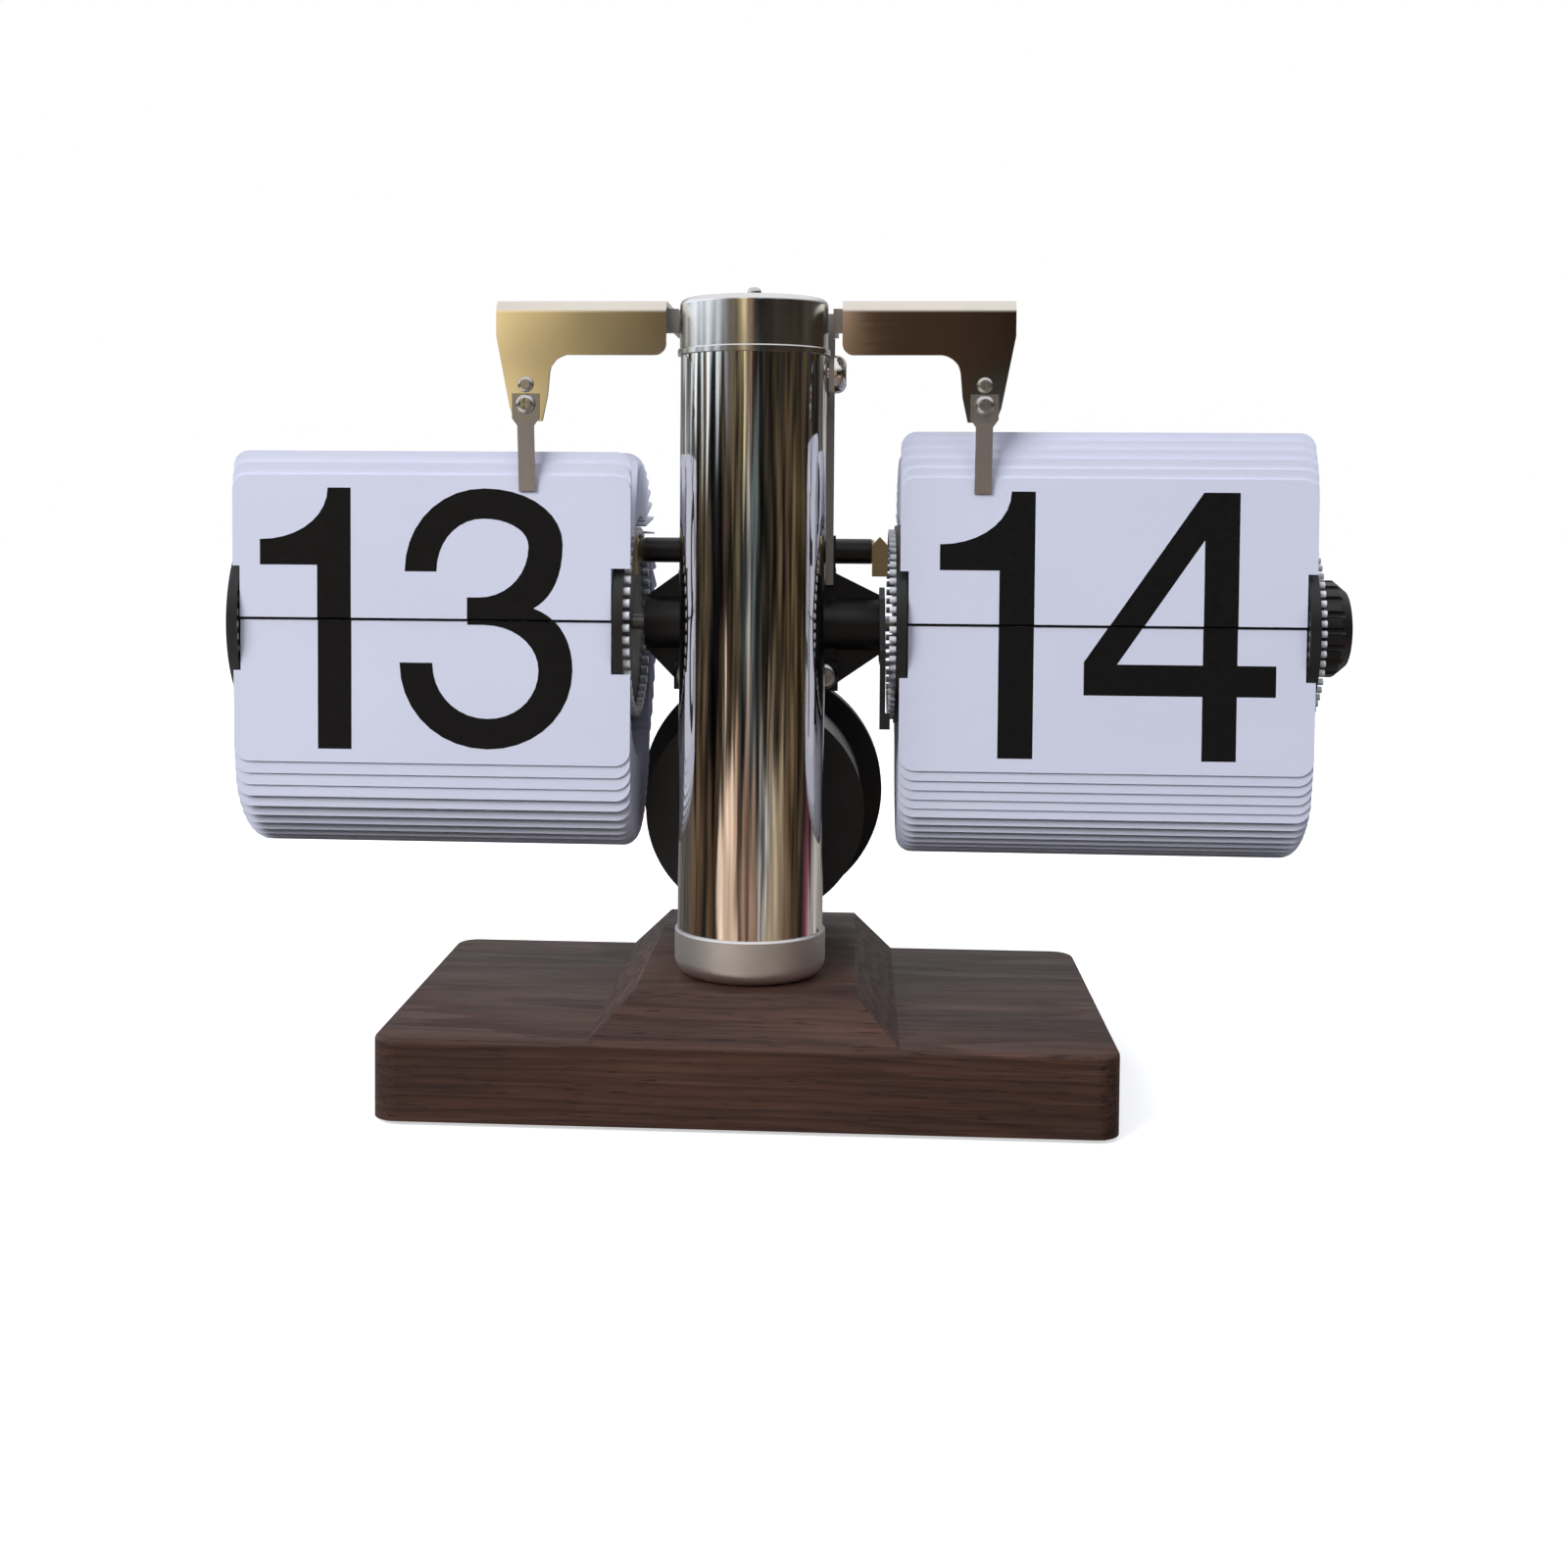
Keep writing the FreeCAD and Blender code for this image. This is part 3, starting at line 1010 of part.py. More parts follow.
def check_document():
    doc.recompute()
    for item in doc.Objects:
        if "Invalid" in item.State or "Error" in item.State:
            raise RuntimeError("%s did not compute" % item.Label)
    for piece in parts:
        shape = piece.Shape
        if shape.isNull() or not shape.isValid() or not shape.Solids:
            raise RuntimeError("%s has no valid shape" % piece.Label)


def write_parts():
    os.makedirs("parts", exist_ok=True)
    for piece in parts:
        piece.Shape.exportStep("parts/%s.step" % piece.Label)
        print("%-20s %2d solids %10.1f mm3" % (piece.Label, len(piece.Shape.Solids),
                                              piece.Shape.Volume))
    print(len(parts), "sub-parts")


make_base()
make_column()
make_top_cap()
make_arms()
make_spine()
make_frame()
make_click_springs()
make_drums()
make_cards("hour", -1, d.hour_card_inner, d.hour_card_outer, d.hour_cards, standing=2)
make_cards("minute", 1, d.minute_card_inner, d.minute_card_outer, d.minute_cards, standing=5)
make_drive()
make_motor()
check_document()
write_parts()
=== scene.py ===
"""Looks of the flip number clock: materials, printed numerals, studio and camera."""
import json
import math

import bmesh
import bpy
from mathutils import Matrix, Vector
from mathutils.geometry import tessellate_polygon


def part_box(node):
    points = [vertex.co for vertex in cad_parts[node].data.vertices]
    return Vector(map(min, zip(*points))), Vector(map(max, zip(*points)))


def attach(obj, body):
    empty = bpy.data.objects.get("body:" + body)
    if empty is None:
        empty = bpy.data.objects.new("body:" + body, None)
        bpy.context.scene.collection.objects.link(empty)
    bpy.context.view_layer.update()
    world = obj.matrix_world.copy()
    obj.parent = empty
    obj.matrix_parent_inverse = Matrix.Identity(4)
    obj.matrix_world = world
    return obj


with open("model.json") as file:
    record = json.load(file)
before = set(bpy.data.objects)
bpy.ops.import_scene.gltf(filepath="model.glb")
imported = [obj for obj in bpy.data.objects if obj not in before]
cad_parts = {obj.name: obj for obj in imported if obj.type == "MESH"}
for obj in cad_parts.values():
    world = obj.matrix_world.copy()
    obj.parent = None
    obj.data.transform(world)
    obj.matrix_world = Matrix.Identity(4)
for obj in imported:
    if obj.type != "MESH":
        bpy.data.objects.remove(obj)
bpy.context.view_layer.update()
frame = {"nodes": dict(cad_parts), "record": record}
MM = 0.001


# ---------------------------------------------------------------- shader helpers

class NodeTree:
    """Shader nodes under construction, shared by the materials and the world."""

    def __init__(self, tree):
        self.nodes = tree.nodes
        self.links = tree.links

    def noise(self, place, detail=3.0, roughness=0.55, distortion=0.0, scale=1.0):
        node = self.nodes.new("ShaderNodeTexNoise")
        self.links.new(place, node.inputs["Vector"])
        for socket, value in (("Scale", scale), ("Detail", detail), ("Roughness", roughness),
                              ("Distortion", distortion)):
            node.inputs[socket].default_value = value
        return node.outputs["Fac"]

    def ramp(self, value, *stops):
        """Maps a value to greys or colours given as (position, grey or colour)."""
        node = self.nodes.new("ShaderNodeValToRGB")
        elements = node.color_ramp.elements
        while len(elements) < len(stops):
            elements.new(0.5)
        for element, (position, color) in zip(elements, stops):
            element.position = position
            element.color = (*color, 1) if isinstance(color, tuple) else (color, color, color, 1)
        self.links.new(value, node.inputs["Fac"])
        return node.outputs["Color"]

    def span(self, value, low, high, start=0.3, end=0.7):
        """Maps start to end, by default the middle of a noise, onto low to high."""
        node = self.nodes.new("ShaderNodeMapRange")
        for socket, number in (("From Min", start), ("From Max", end), ("To Min", low), ("To Max", high)):
            node.inputs[socket].default_value = number
        self.links.new(value, node.inputs["Value"])
        return node.outputs["Result"]

    def math(self, operation, a, b=0.0):
        node = self.nodes.new("ShaderNodeMath")
        node.operation = operation
        for index, value in enumerate((a, b)):
            if isinstance(value, bpy.types.NodeSocket):
                self.links.new(value, node.inputs[index])
            else:
                node.inputs[index].default_value = value
        return node.outputs[0]

    def mix(self, factor, a, b, blend="MIX"):
        node = self.nodes.new("ShaderNodeMix")
        node.data_type = "RGBA"
        node.blend_type = blend
        for index, value in ((0, factor), (6, a), (7, b)):
            if isinstance(value, bpy.types.NodeSocket):
                self.links.new(value, node.inputs[index])
            elif isinstance(value, tuple):
                node.inputs[index].default_value = (*value, 1)
            else:
                node.inputs[index].default_value = value
        return node.outputs[2]


class Finish(NodeTree):
    """A material whose textures are laid out in object space in metres."""

    def __init__(self, name, color, roughness, metallic=0.0, **sockets):
        self.material = bpy.data.materials.new(name)
        self.material.use_nodes = True
        super().__init__(self.material.node_tree)
        self.surface = self.nodes["Principled BSDF"]
        self.set("Base Color", color)
        self.set("Roughness", roughness)
        self.set("Metallic", metallic)
        for socket, value in sockets.items():
            self.set(socket.replace("_", " "), value)
        self.place = self.nodes.new("ShaderNodeTexCoord").outputs["Object"]

    def set(self, socket, value):
        """Puts a number, a colour or another node's output on a socket of the surface."""
        if isinstance(value, bpy.types.NodeSocket):
            self.links.new(value, self.surface.inputs[socket])
        elif socket == "Base Color":
            self.surface.inputs[socket].default_value = (*value, 1)
        else:
            self.surface.inputs[socket].default_value = value

    def stretched(self, x, y, z):
        """The place scaled by a factor along each axis."""
        node = self.nodes.new("ShaderNodeMapping")
        node.inputs["Scale"].default_value = (x, y, z)
        self.links.new(self.place, node.inputs["Vector"])
        return node.outputs["Vector"]

    def axes(self):
        node = self.nodes.new("ShaderNodeSeparateXYZ")
        self.links.new(self.place, node.inputs[0])
        return node.outputs

    def bump(self, height, strength, distance):
        node = self.nodes.new("ShaderNodeBump")
        node.inputs["Strength"].default_value = strength
        node.inputs["Distance"].default_value = distance
        self.links.new(height, node.inputs["Height"])
        self.links.new(node.outputs["Normal"], self.surface.inputs["Normal"])


# ---------------------------------------------------------------- materials

RING_WIDTH = 0.0021   # metres from one growth ring to the next
HEART_DEPTH = 0.085   # the tree's middle lies this far under the board
WIRE_PITCH = 0.00022  # metres from one turn of the coil's wire to the next


def walnut():
    """Dark walnut sawn flat: the growth rings are long cones about a line under the board."""
    f = Finish("walnut", (0.06, 0.03, 0.02), 0.5, Specular_IOR_Level=0.3)
    x, y, z = f.axes()
    drift = f.span(f.noise(f.stretched(6, 30, 30), detail=2), -0.0028, 0.0028)
    wobble = f.span(f.noise(f.stretched(14, 190, 190), detail=3), -0.0008, 0.0008)
    across = f.math("ADD", f.math("MULTIPLY", y, 0.62), 0.004)
    below = f.math("ADD", z, HEART_DEPTH)
    radius = f.math("SQRT", f.math("ADD", f.math("POWER", across, 2.0), f.math("POWER", below, 2.0)))
    from_waist = f.math("ABSOLUTE", f.math("ADD", x, -0.012))
    cone = f.math("ADD", radius, f.math("MULTIPLY", from_waist, 0.028))
    depth = f.math("ADD", f.math("ADD", cone, drift), wobble)
    ring = f.math("FRACT", f.math("DIVIDE", depth, RING_WIDTH))
    ringed = f.ramp(ring, (0.0, 0.0), (0.5, 0.25), (0.86, 0.9), (1.0, 0.05))
    broad = f.ramp(f.noise(f.stretched(7, 110, 110), detail=4, roughness=0.65), (0.36, 0.0), (0.62, 1.0))
    fibre = f.noise(f.stretched(40, 1500, 1500), detail=2, roughness=0.7)
    pores = f.ramp(f.noise(f.stretched(150, 2600, 2600), detail=1), (0.30, 1.0), (0.37, 0.0))
    light = f.mix(broad, (0.088, 0.043, 0.029), (0.042, 0.021, 0.016))
    dark = f.mix(broad, (0.046, 0.022, 0.016), (0.022, 0.011, 0.009))
    color = f.mix(f.math("MULTIPLY", ringed, 0.8), light, dark)
    color = f.mix(1.0, color, f.ramp(fibre, (0.3, 0.72), (0.7, 1.25)), "MULTIPLY")
    color = f.mix(f.math("MULTIPLY", pores, 0.75), color, (0.010, 0.006, 0.005))
    f.set("Base Color", color)
    f.set("Roughness", f.span(f.math("ADD", fibre, f.math("MULTIPLY", ring, 0.2)), 0.38, 0.58))
    height = f.math("SUBTRACT", f.math("MULTIPLY", fibre, 0.35), pores)
    f.bump(height, 0.35, 0.00012)
    return f.material


def felt():
    f = Finish("felt", (0.03, 0.03, 0.03), 0.95, Sheen_Weight=0.4)
    fluff = f.noise(f.place, scale=2600, detail=4, roughness=0.75)
    f.set("Base Color", f.ramp(fluff, (0.3, 0.008), (0.72, 0.05)))
    f.bump(fluff, 0.8, 0.0003)
    return f.material


def polished(name, color, roughness, streak, wear=0.0, axis="Z"):
    """Bright metal with faint handling marks and, where asked, fine lines drawn along one axis."""
    f = Finish(name, color, roughness, 1.0)
    scale = {"X": (12, 2400, 2400), "Z": (2400, 2400, 12), "Y": (2400, 12, 2400)}[axis]
    lines = f.noise(f.stretched(*scale), detail=3, roughness=0.7)
    smear = f.noise(f.place, scale=55, detail=4, roughness=0.6)
    f.set("Roughness", f.math("ADD", f.span(smear, roughness * 0.75, roughness * 1.5),
                             f.span(lines, 0.0, streak)))
    tint = tuple(channel * (1 - wear) for channel in color)
    f.set("Base Color", f.mix(f.ramp(smear, (0.42, 0.0), (0.72, 1.0)), color, tint))
    f.bump(lines, streak * 0.6, 0.00004)
    return f.material


def round_brushed(name, color, roughness):
    """A turned or drawn metal part: fine lines run round the vertical axis."""
    f = Finish(name, color, roughness, 1.0, Anisotropic=0.45)
    lines = f.noise(f.stretched(3, 3, 9000), detail=2, roughness=0.6)
    haze = f.noise(f.place, scale=70, detail=5, roughness=0.65)
    f.set("Roughness", f.math("ADD", f.span(lines, roughness * 0.7, roughness * 1.25),
                             f.span(haze, -0.02, 0.05)))
    f.set("Base Color", f.mix(f.ramp(haze, (0.35, 0.0), (0.75, 0.5)), color,
                              tuple(channel * 0.82 for channel in color)))
    f.bump(lines, 0.03, 0.00003)
    return f.material


def moulded(name, color, roughness, grain=0.25, coat=0.0):
    """Injection-moulded plastic with a fine spark-eroded grain and a little unevenness."""
    f = Finish(name, color, roughness, Coat_Weight=coat, Coat_Roughness=0.15)
    fine = f.noise(f.place, scale=3200, detail=2)
    cloudy = f.noise(f.place, scale=120, detail=3)
    lighter = tuple(min(1.0, channel * 1.35 + 0.004) for channel in color)
    f.set("Base Color", f.mix(f.ramp(cloudy, (0.35, 0.0), (0.7, 0.55)), color, lighter))
    f.set("Roughness", f.math("ADD", f.span(cloudy, roughness * 0.85, roughness * 1.15),
                             f.span(fine, -0.04, 0.04)))
    f.bump(fine, grain, 0.00003)
    return f.material


def card_sheet():
    """Satin white film with the faint orange-peel of calendered plastic, a little blue."""
    f = Finish("card_white", (0.72, 0.74, 0.88), 0.42, Subsurface_Weight=0.06,
               Subsurface_Radius=(0.0006, 0.0006, 0.0008), Specular_IOR_Level=0.4)
    peel = f.noise(f.place, scale=900, detail=2)
    tone = f.noise(f.stretched(14, 30, 30), detail=3)
    f.set("Base Color", f.mix(f.ramp(tone, (0.35, 0.0), (0.68, 1.0)),
                              (0.745, 0.760, 0.885), (0.72, 0.733, 0.855)))
    f.set("Roughness", f.span(f.noise(f.place, scale=160, detail=4), 0.36, 0.5))
    f.bump(peel, 0.08, 0.00003)
    return f.material


# This black also serves as the painted shade strip along each card's split line.
def ink():
    f = Finish("ink_and_painted_shade", (0.006, 0.006, 0.0065), 0.38, Specular_IOR_Level=0.25)
    weave = f.noise(f.place, scale=2200, detail=3)
    f.set("Base Color", f.ramp(weave, (0.3, (0.004, 0.004, 0.0045)), (0.75, (0.008, 0.008, 0.008))))
    f.set("Roughness", f.span(weave, 0.32, 0.5))
    f.bump(weave, 0.15, 0.00002)
    return f.material


def winding():
    """Enamelled copper wire wound round the Y axis, with painted shade in the grooves between turns and a
    painted highlight on each crest.
    """
    f = Finish("copper", (0.5, 0.2, 0.08), 0.3, 1.0, Coat_Weight=0.6, Coat_Roughness=0.1)
    turn = f.math("FRACT", f.math("DIVIDE", f.axes()["Y"], WIRE_PITCH))
    ridge = f.math("SINE", f.math("MULTIPLY", turn, math.pi))
    uneven = f.noise(f.place, scale=400, detail=3)
    # painted shade and highlight: dark copper in the grooves between turns, bright copper on each turn's
    # crest
    f.set("Base Color", f.mix(ridge, (0.20, 0.07, 0.025), (0.60, 0.26, 0.11)))
    f.set("Roughness", f.span(uneven, 0.22, 0.42))
    f.bump(ridge, 0.6, 0.0001)
    return f.material


def solder_board():
    f = Finish("board", (0.01, 0.09, 0.03), 0.4, Coat_Weight=0.5, Coat_Roughness=0.2)
    tracks = f.nodes.new("ShaderNodeTexVoronoi")
    tracks.distance = "CHEBYCHEV"
    tracks.feature = "DISTANCE_TO_EDGE"
    tracks.inputs["Scale"].default_value = 420
    f.links.new(f.place, tracks.inputs["Vector"])
    paths = f.ramp(tracks.outputs["Distance"], (0.04, 1.0), (0.09, 0.0))
    f.set("Base Color", f.mix(paths, (0.006, 0.075, 0.028), (0.018, 0.15, 0.05)))
    f.bump(paths, 0.3, 0.00005)
    return f.material


def cell_sleeve():
    """A plain dark shrink sleeve with a copper-coloured shoulder band and steel ends."""
    f = Finish("cell_label", (0.03, 0.03, 0.035), 0.25, Coat_Weight=0.5, Coat_Roughness=0.08)
    low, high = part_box("battery")
    share = f.span(f.axes()["Z"], 0.0, 1.0, low.z, high.z)
    steel, sleeve, band = (0.5, 0.5, 0.5), (0.02, 0.02, 0.024), (0.42, 0.2, 0.07)
    f.set("Base Color", f.ramp(share, (0.0, steel), (0.02, sleeve), (0.66, sleeve),
                               (0.67, band), (0.955, band), (0.96, steel)))
    f.set("Roughness", f.span(f.noise(f.place, scale=300, detail=3), 0.18, 0.34))
    return f.material


MATERIALS = {
    "walnut": walnut(),
    "felt": felt(),
    "screw_steel": polished("screw_steel", (0.62, 0.61, 0.60), 0.24, 0.08, 0.3),
    "satin_chrome": round_brushed("satin_chrome", (0.80, 0.79, 0.78), 0.15),
    "mirror_chrome": polished("mirror_chrome", (0.80, 0.78, 0.75), 0.045, 0.02, 0.08),
    "arm_steel": polished("arm_steel", (0.80, 0.74, 0.64), 0.05, 0.02, 0.08, "X"),
    "strap_steel": polished("strap_steel", (0.60, 0.60, 0.61), 0.26, 0.12, 0.2),
    "black_plastic": moulded("black_plastic", (0.011, 0.011, 0.0115), 0.42),
    "cell_label": cell_sleeve(),
    "brass": polished("brass", (0.50, 0.40, 0.22), 0.28, 0.1, 0.35, "Y"),
    "card_white": card_sheet(),
    "tab_white": moulded("tab_white", (0.70, 0.71, 0.74), 0.3, 0.1, 0.3),
    "gear_nylon": moulded("gear_nylon", (0.62, 0.58, 0.47), 0.4, 0.15),
    "can_steel": polished("can_steel", (0.56, 0.56, 0.57), 0.3, 0.15, 0.2, "Y"),
    "copper": winding(),
    "board": solder_board(),
}
INK_AND_SHADE = ink()

for part in frame["record"]["subparts"]:
    mesh = frame["nodes"][part["node"]].data
    mesh.materials.clear()
    mesh.materials.append(MATERIALS[part["material_slot"]])
# The bottom cap gets a rougher copy of the satin chrome with a lighter base colour; the lighter colour is
# painted light that makes the foot read bright silver.
foot_ring = frame["nodes"]["bottom_cap"].data
foot_ring.materials[0] = round_brushed("satin_chrome_foot_painted_lighter", (0.97, 0.95, 0.93), 0.5)


# ---------------------------------------------------------------- printed numerals and the painted shade at the split line

# Outlines in millimetres: x from the numeral's left side, height above the line between two cards.
# "L" is a straight line, "VH" a quarter turn that leaves upright and arrives level, "HV" the
# reverse, and "C" a free curve with its two guide points first.
TOP, FOOT = 25.3, -25.2
NUMERALS = {
    "0": (33.4, [
        [(0, 3), ("VH", 16.7, TOP), ("HV", 33.4, 3), ("L", 33.4, -3), ("VH", 16.7, FOOT), ("HV", 0, -3)],
        [(6.6, 2), ("VH", 16.7, 19.7), ("HV", 26.8, 2), ("L", 26.8, -2), ("VH", 16.7, -19.6),
         ("HV", 6.6, -2)]]),
    "1": (17.8, [
        [(0, 10.4), ("L", 11.2, 10.4), ("L", 11.2, FOOT), ("L", 17.8, FOOT), ("L", 17.8, TOP),
         ("L", 13.3, TOP), ("VH", 0, 15.3)]]),
    "2": (33.0, [
        [(0.9, 7.6), ("VH", 17, TOP), ("HV", 32.8, 10.6), ("C", 32.8, -3.5, 11.5, -8.5, 8.6, -19.2),
         ("L", 33, -19.2), ("L", 33, FOOT), ("L", 0, FOOT), ("C", 1.2, -7.2, 26.1, -3.6, 26.1, 10.4),
         ("VH", 17, 19.6), ("HV", 7.1, 7.6)]]),
    "3": (33.6, [
        [(1.1, 9.3), ("VH", 16.6, TOP), ("HV", 31.7, 14.7), ("C", 31.7, 7.5, 29.0, 4.0, 26.1, 2.4),
         ("C", 30.8, 0.8, 33.6, -3.6, 33.6, -9.5), ("VH", 17.1, -24.9), ("HV", 0, -8.3),
         ("L", 6.4, -8.3), ("VH", 17.1, -19.0), ("HV", 27.0, -9.6), ("VH", 16.4, -0.9),
         ("L", 13.2, -0.9), ("L", 13.2, 4.4), ("L", 15.4, 4.4), ("HV", 25.1, 14.3),
         ("VH", 16.4, 19.5), ("HV", 7.3, 9.3)]]),
    "4": (35.7, [
        [(21.8, TOP), ("L", 28.5, TOP), ("L", 28.5, -7.1), ("L", 35.7, -7.1), ("L", 35.7, -13.0),
         ("L", 28.5, -13.0), ("L", 28.5, FOOT), ("L", 22.1, FOOT), ("L", 22.1, -13.0), ("L", 0, -13.0),
         ("L", 0, -6.7)],
        [(22.1, 16.4), ("L", 22.1, -7.1), ("L", 6.2, -7.1)]]),
    "5": (33.4, [
        [(5.0, TOP), ("L", 30.8, TOP), ("L", 30.8, 19.4), ("L", 9.8, 19.4), ("L", 7.9, 6.0),
         ("C", 10.6, 8.2, 13.8, 9.2, 17.4, 9.2), ("HV", 33.4, -7.6), ("VH", 16.4, FOOT), ("HV", 0, -10.8),
         ("L", 6.3, -10.8), ("VH", 16.6, -19.5), ("HV", 26.7, -7.8), ("VH", 16.8, 3.6),
         ("C", 12.6, 3.6, 9.4, 1.6, 7.6, -1.4), ("L", 1.9, -1.4)]]),
    "6": (33.4, [
        [(31.8, 12.8), ("VH", 17.7, TOP), ("HV", 0, -1.6), ("VH", 16.9, FOOT), ("HV", 33.4, -8.8),
         ("VH", 17.9, 7.0), ("C", 13.2, 7.0, 9.0, 4.8, 6.7, 1.2), ("C", 6.9, 12.0, 10.6, 19.8, 17.6, 19.8),
         ("HV", 25.5, 12.8)],
        [(7.0, -8.8), ("VH", 17.0, 1.6), ("HV", 26.9, -8.8), ("VH", 17.0, -19.7), ("HV", 7.0, -8.8)]]),
    "7": (32.8, [
        [(0.2, TOP), ("L", 32.8, TOP), ("L", 32.8, 20.0), ("C", 22.6, 9.0, 15.0, -8.0, 13.6, FOOT),
         ("L", 6.6, FOOT), ("C", 8.6, -8.6, 15.8, 8.4, 25.6, 19.2), ("L", 0.2, 19.2)]]),
    "8": (33.6, [
        [(2.0, 13.2), ("VH", 16.8, TOP), ("HV", 31.6, 13.2), ("C", 31.6, 8.0, 29.6, 4.2, 26.4, 2.2),
         ("C", 31.0, 0.2, 33.6, -4.2, 33.6, -9.6), ("VH", 16.8, FOOT), ("HV", 0, -9.6),
         ("C", 0, -4.2, 2.6, 0.2, 7.2, 2.2), ("C", 4.0, 4.2, 2.0, 8.0, 2.0, 13.2)],
        [(8.6, 12.6), ("VH", 16.8, 19.8), ("HV", 25.0, 12.6), ("VH", 16.8, 4.9), ("HV", 8.6, 12.6)],
        [(6.8, -9.8), ("VH", 16.8, -0.9), ("HV", 26.8, -9.8), ("VH", 16.8, -19.8), ("HV", 6.8, -9.8)]]),
}


def turned_over(loop, width):
    """An outline turned by half a turn about the middle of its numeral."""
    steps = [[width - number if index % 2 == 0 else -number for index, number in enumerate(step)]
             for step in (loop[0], *(step[1:] for step in loop[1:]))]
    return [tuple(steps[0])] + [(old[0], *new) for old, new in zip(loop[1:], steps[1:])]


SIX_WIDTH, SIX_LOOPS = NUMERALS["6"]
NUMERALS["9"] = (SIX_WIDTH, [turned_over(loop, SIX_WIDTH) for loop in SIX_LOOPS])
ROUNDNESS = 0.565
SPLIT_EDGE = 0.15                 # the hinge edge's distance from the line between two cards
EDGE_SPAN = {"hour": (-99.3, -27.1), "minute": (29.5, 103.7)}


def traced(loop, steps=9):
    """An outline as points, with each curve divided evenly."""
    points = [tuple(loop[0])]
    for kind, *numbers in loop[1:]:
        x0, z0 = points[-1]
        x1, z1 = numbers[-2:]
        if kind == "L":
            points.append((x1, z1))
            continue
        if kind == "VH":
            guides = (x0, z0 + ROUNDNESS * (z1 - z0), x1 + ROUNDNESS * (x0 - x1), z1)
        elif kind == "HV":
            guides = (x0 + ROUNDNESS * (x1 - x0), z0, x1, z1 + ROUNDNESS * (z0 - z1))
        else:
            guides = numbers[:4]
        for step in range(1, steps + 1):
            t = step / steps
            weights = ((1 - t) ** 3, 3 * t * (1 - t) ** 2, 3 * t * t * (1 - t), t ** 3)
            points.append(tuple(sum(w * v for w, v in zip(weights, row))
                                for row in ((x0, guides[0], guides[2], x1), (z0, guides[1], guides[3], z1))))
    if math.dist(points[0], points[-1]) < 1e-6:
        points.pop()
    return points


def number_loops(text, middle, left=None):
    """The outlines of a two-figure number, centred on the card unless its left side is given."""
    gap = 9.4 if text[0] == "1" else 4.2
    first, second = NUMERALS[text[0]], NUMERALS[text[1]]
    if left is None:
        left = middle - (first[0] + gap + second[0]) / 2
    shapes = []
    for start, (width, loops) in ((left, first), (left + first[0] + gap, second)):
        shapes.append([[(start + x, z) for x, z in traced(loop)] for loop in loops])
    return shapes


def painted_split_shade(drum):
    """A black strip in ink along a card's hinge edge, between the drum's two discs: painted shade for the
    dark gap at the split line.
    """
    low, high = EDGE_SPAN[drum]
    foot, head = -SPLIT_SHADE_HALF_WIDTH, SPLIT_SHADE_HALF_WIDTH
    return [[[(low, foot), (high, foot), (high, head), (low, head)]]]


def half_print(mesh, shapes, upper, place):
    """Adds one half of a number to a bmesh, on the face that the reader sees."""
    half = bmesh.new()
    for loops in shapes:
        flat = [[Vector((x, 0, z)) for x, z in loop] for loop in loops]
        corners = [half.verts.new(point) for loop in flat for point in loop]
        for triangle in tessellate_polygon(flat):
            half.faces.new([corners[index] for index in triangle])
    outward = 1 if upper else -1
    bmesh.ops.bisect_plane(half, geom=[*half.verts, *half.edges, *half.faces], dist=1e-5,
                           plane_co=(0, 0, outward * SPLIT_EDGE), plane_no=(0, 0, outward),
                           clear_inner=True)
    bmesh.ops.recalc_face_normals(half, faces=half.faces)
    for face in half.faces:
        if face.normal.y > 0:
            face.normal_flip()
    bmesh.ops.transform(half, matrix=place, verts=half.verts)
    copies = {vert: mesh.verts.new(vert.co) for vert in half.verts}
    for face in half.faces:
        mesh.faces.new([copies[vert] for vert in face.verts])
    half.free()


# The cards' places, in millimetres, as the movement holds them.
AXIS_Y, AXIS_Z, HINGE_RADIUS, SPLIT_Z = 5.2, 88.5, 18.2, 89.5
SHEET, PITCH, FRONT_Y = 0.3, 0.38, -13
INK_THICKNESS = 0.008
# half width of the black strip painted as shade along each card's hinge edge
SPLIT_SHADE_HALF_WIDTH = 0.27
FRONT_RANKS = 5                   # lower cards that hang straight, packed behind the front one
DRUMS = {
    # cards, standing cards, middle of a card in x, left side of the number shown
    "hour": (48, 2, -62.05, -95.3),
    "minute": (60, 5, 66.7, 35.3),
}


def card_places(cards, standing):
    """Each card's hinge point and backward tilt in degrees, from the front card over the top."""
    spacing = 2 * HINGE_RADIUS * math.sin(math.pi / cards)
    step = 360 / cards
    first = math.degrees(math.asin((SPLIT_Z + spacing / 2 - AXIS_Z) / HINGE_RADIUS))
    lean = math.degrees(math.asin(PITCH / spacing)) - step / 2
    places = []
    for index in range(cards):
        angle = first + step * index
        y = AXIS_Y - HINGE_RADIUS * math.cos(math.radians(angle))
        z = AXIS_Z + HINGE_RADIUS * math.sin(math.radians(angle))
        places.append([y, z, 0 if index <= standing else min(angle - lean, 180)])
    front = FRONT_Y + SHEET / 2
    for index in range(standing + 1):
        places[index][0] = max(places[index][0], front + PITCH * index)
    for rank in range(1, FRONT_RANKS + 1):
        places[-rank][0] = max(places[-rank][0], front + PITCH * rank)
    return places


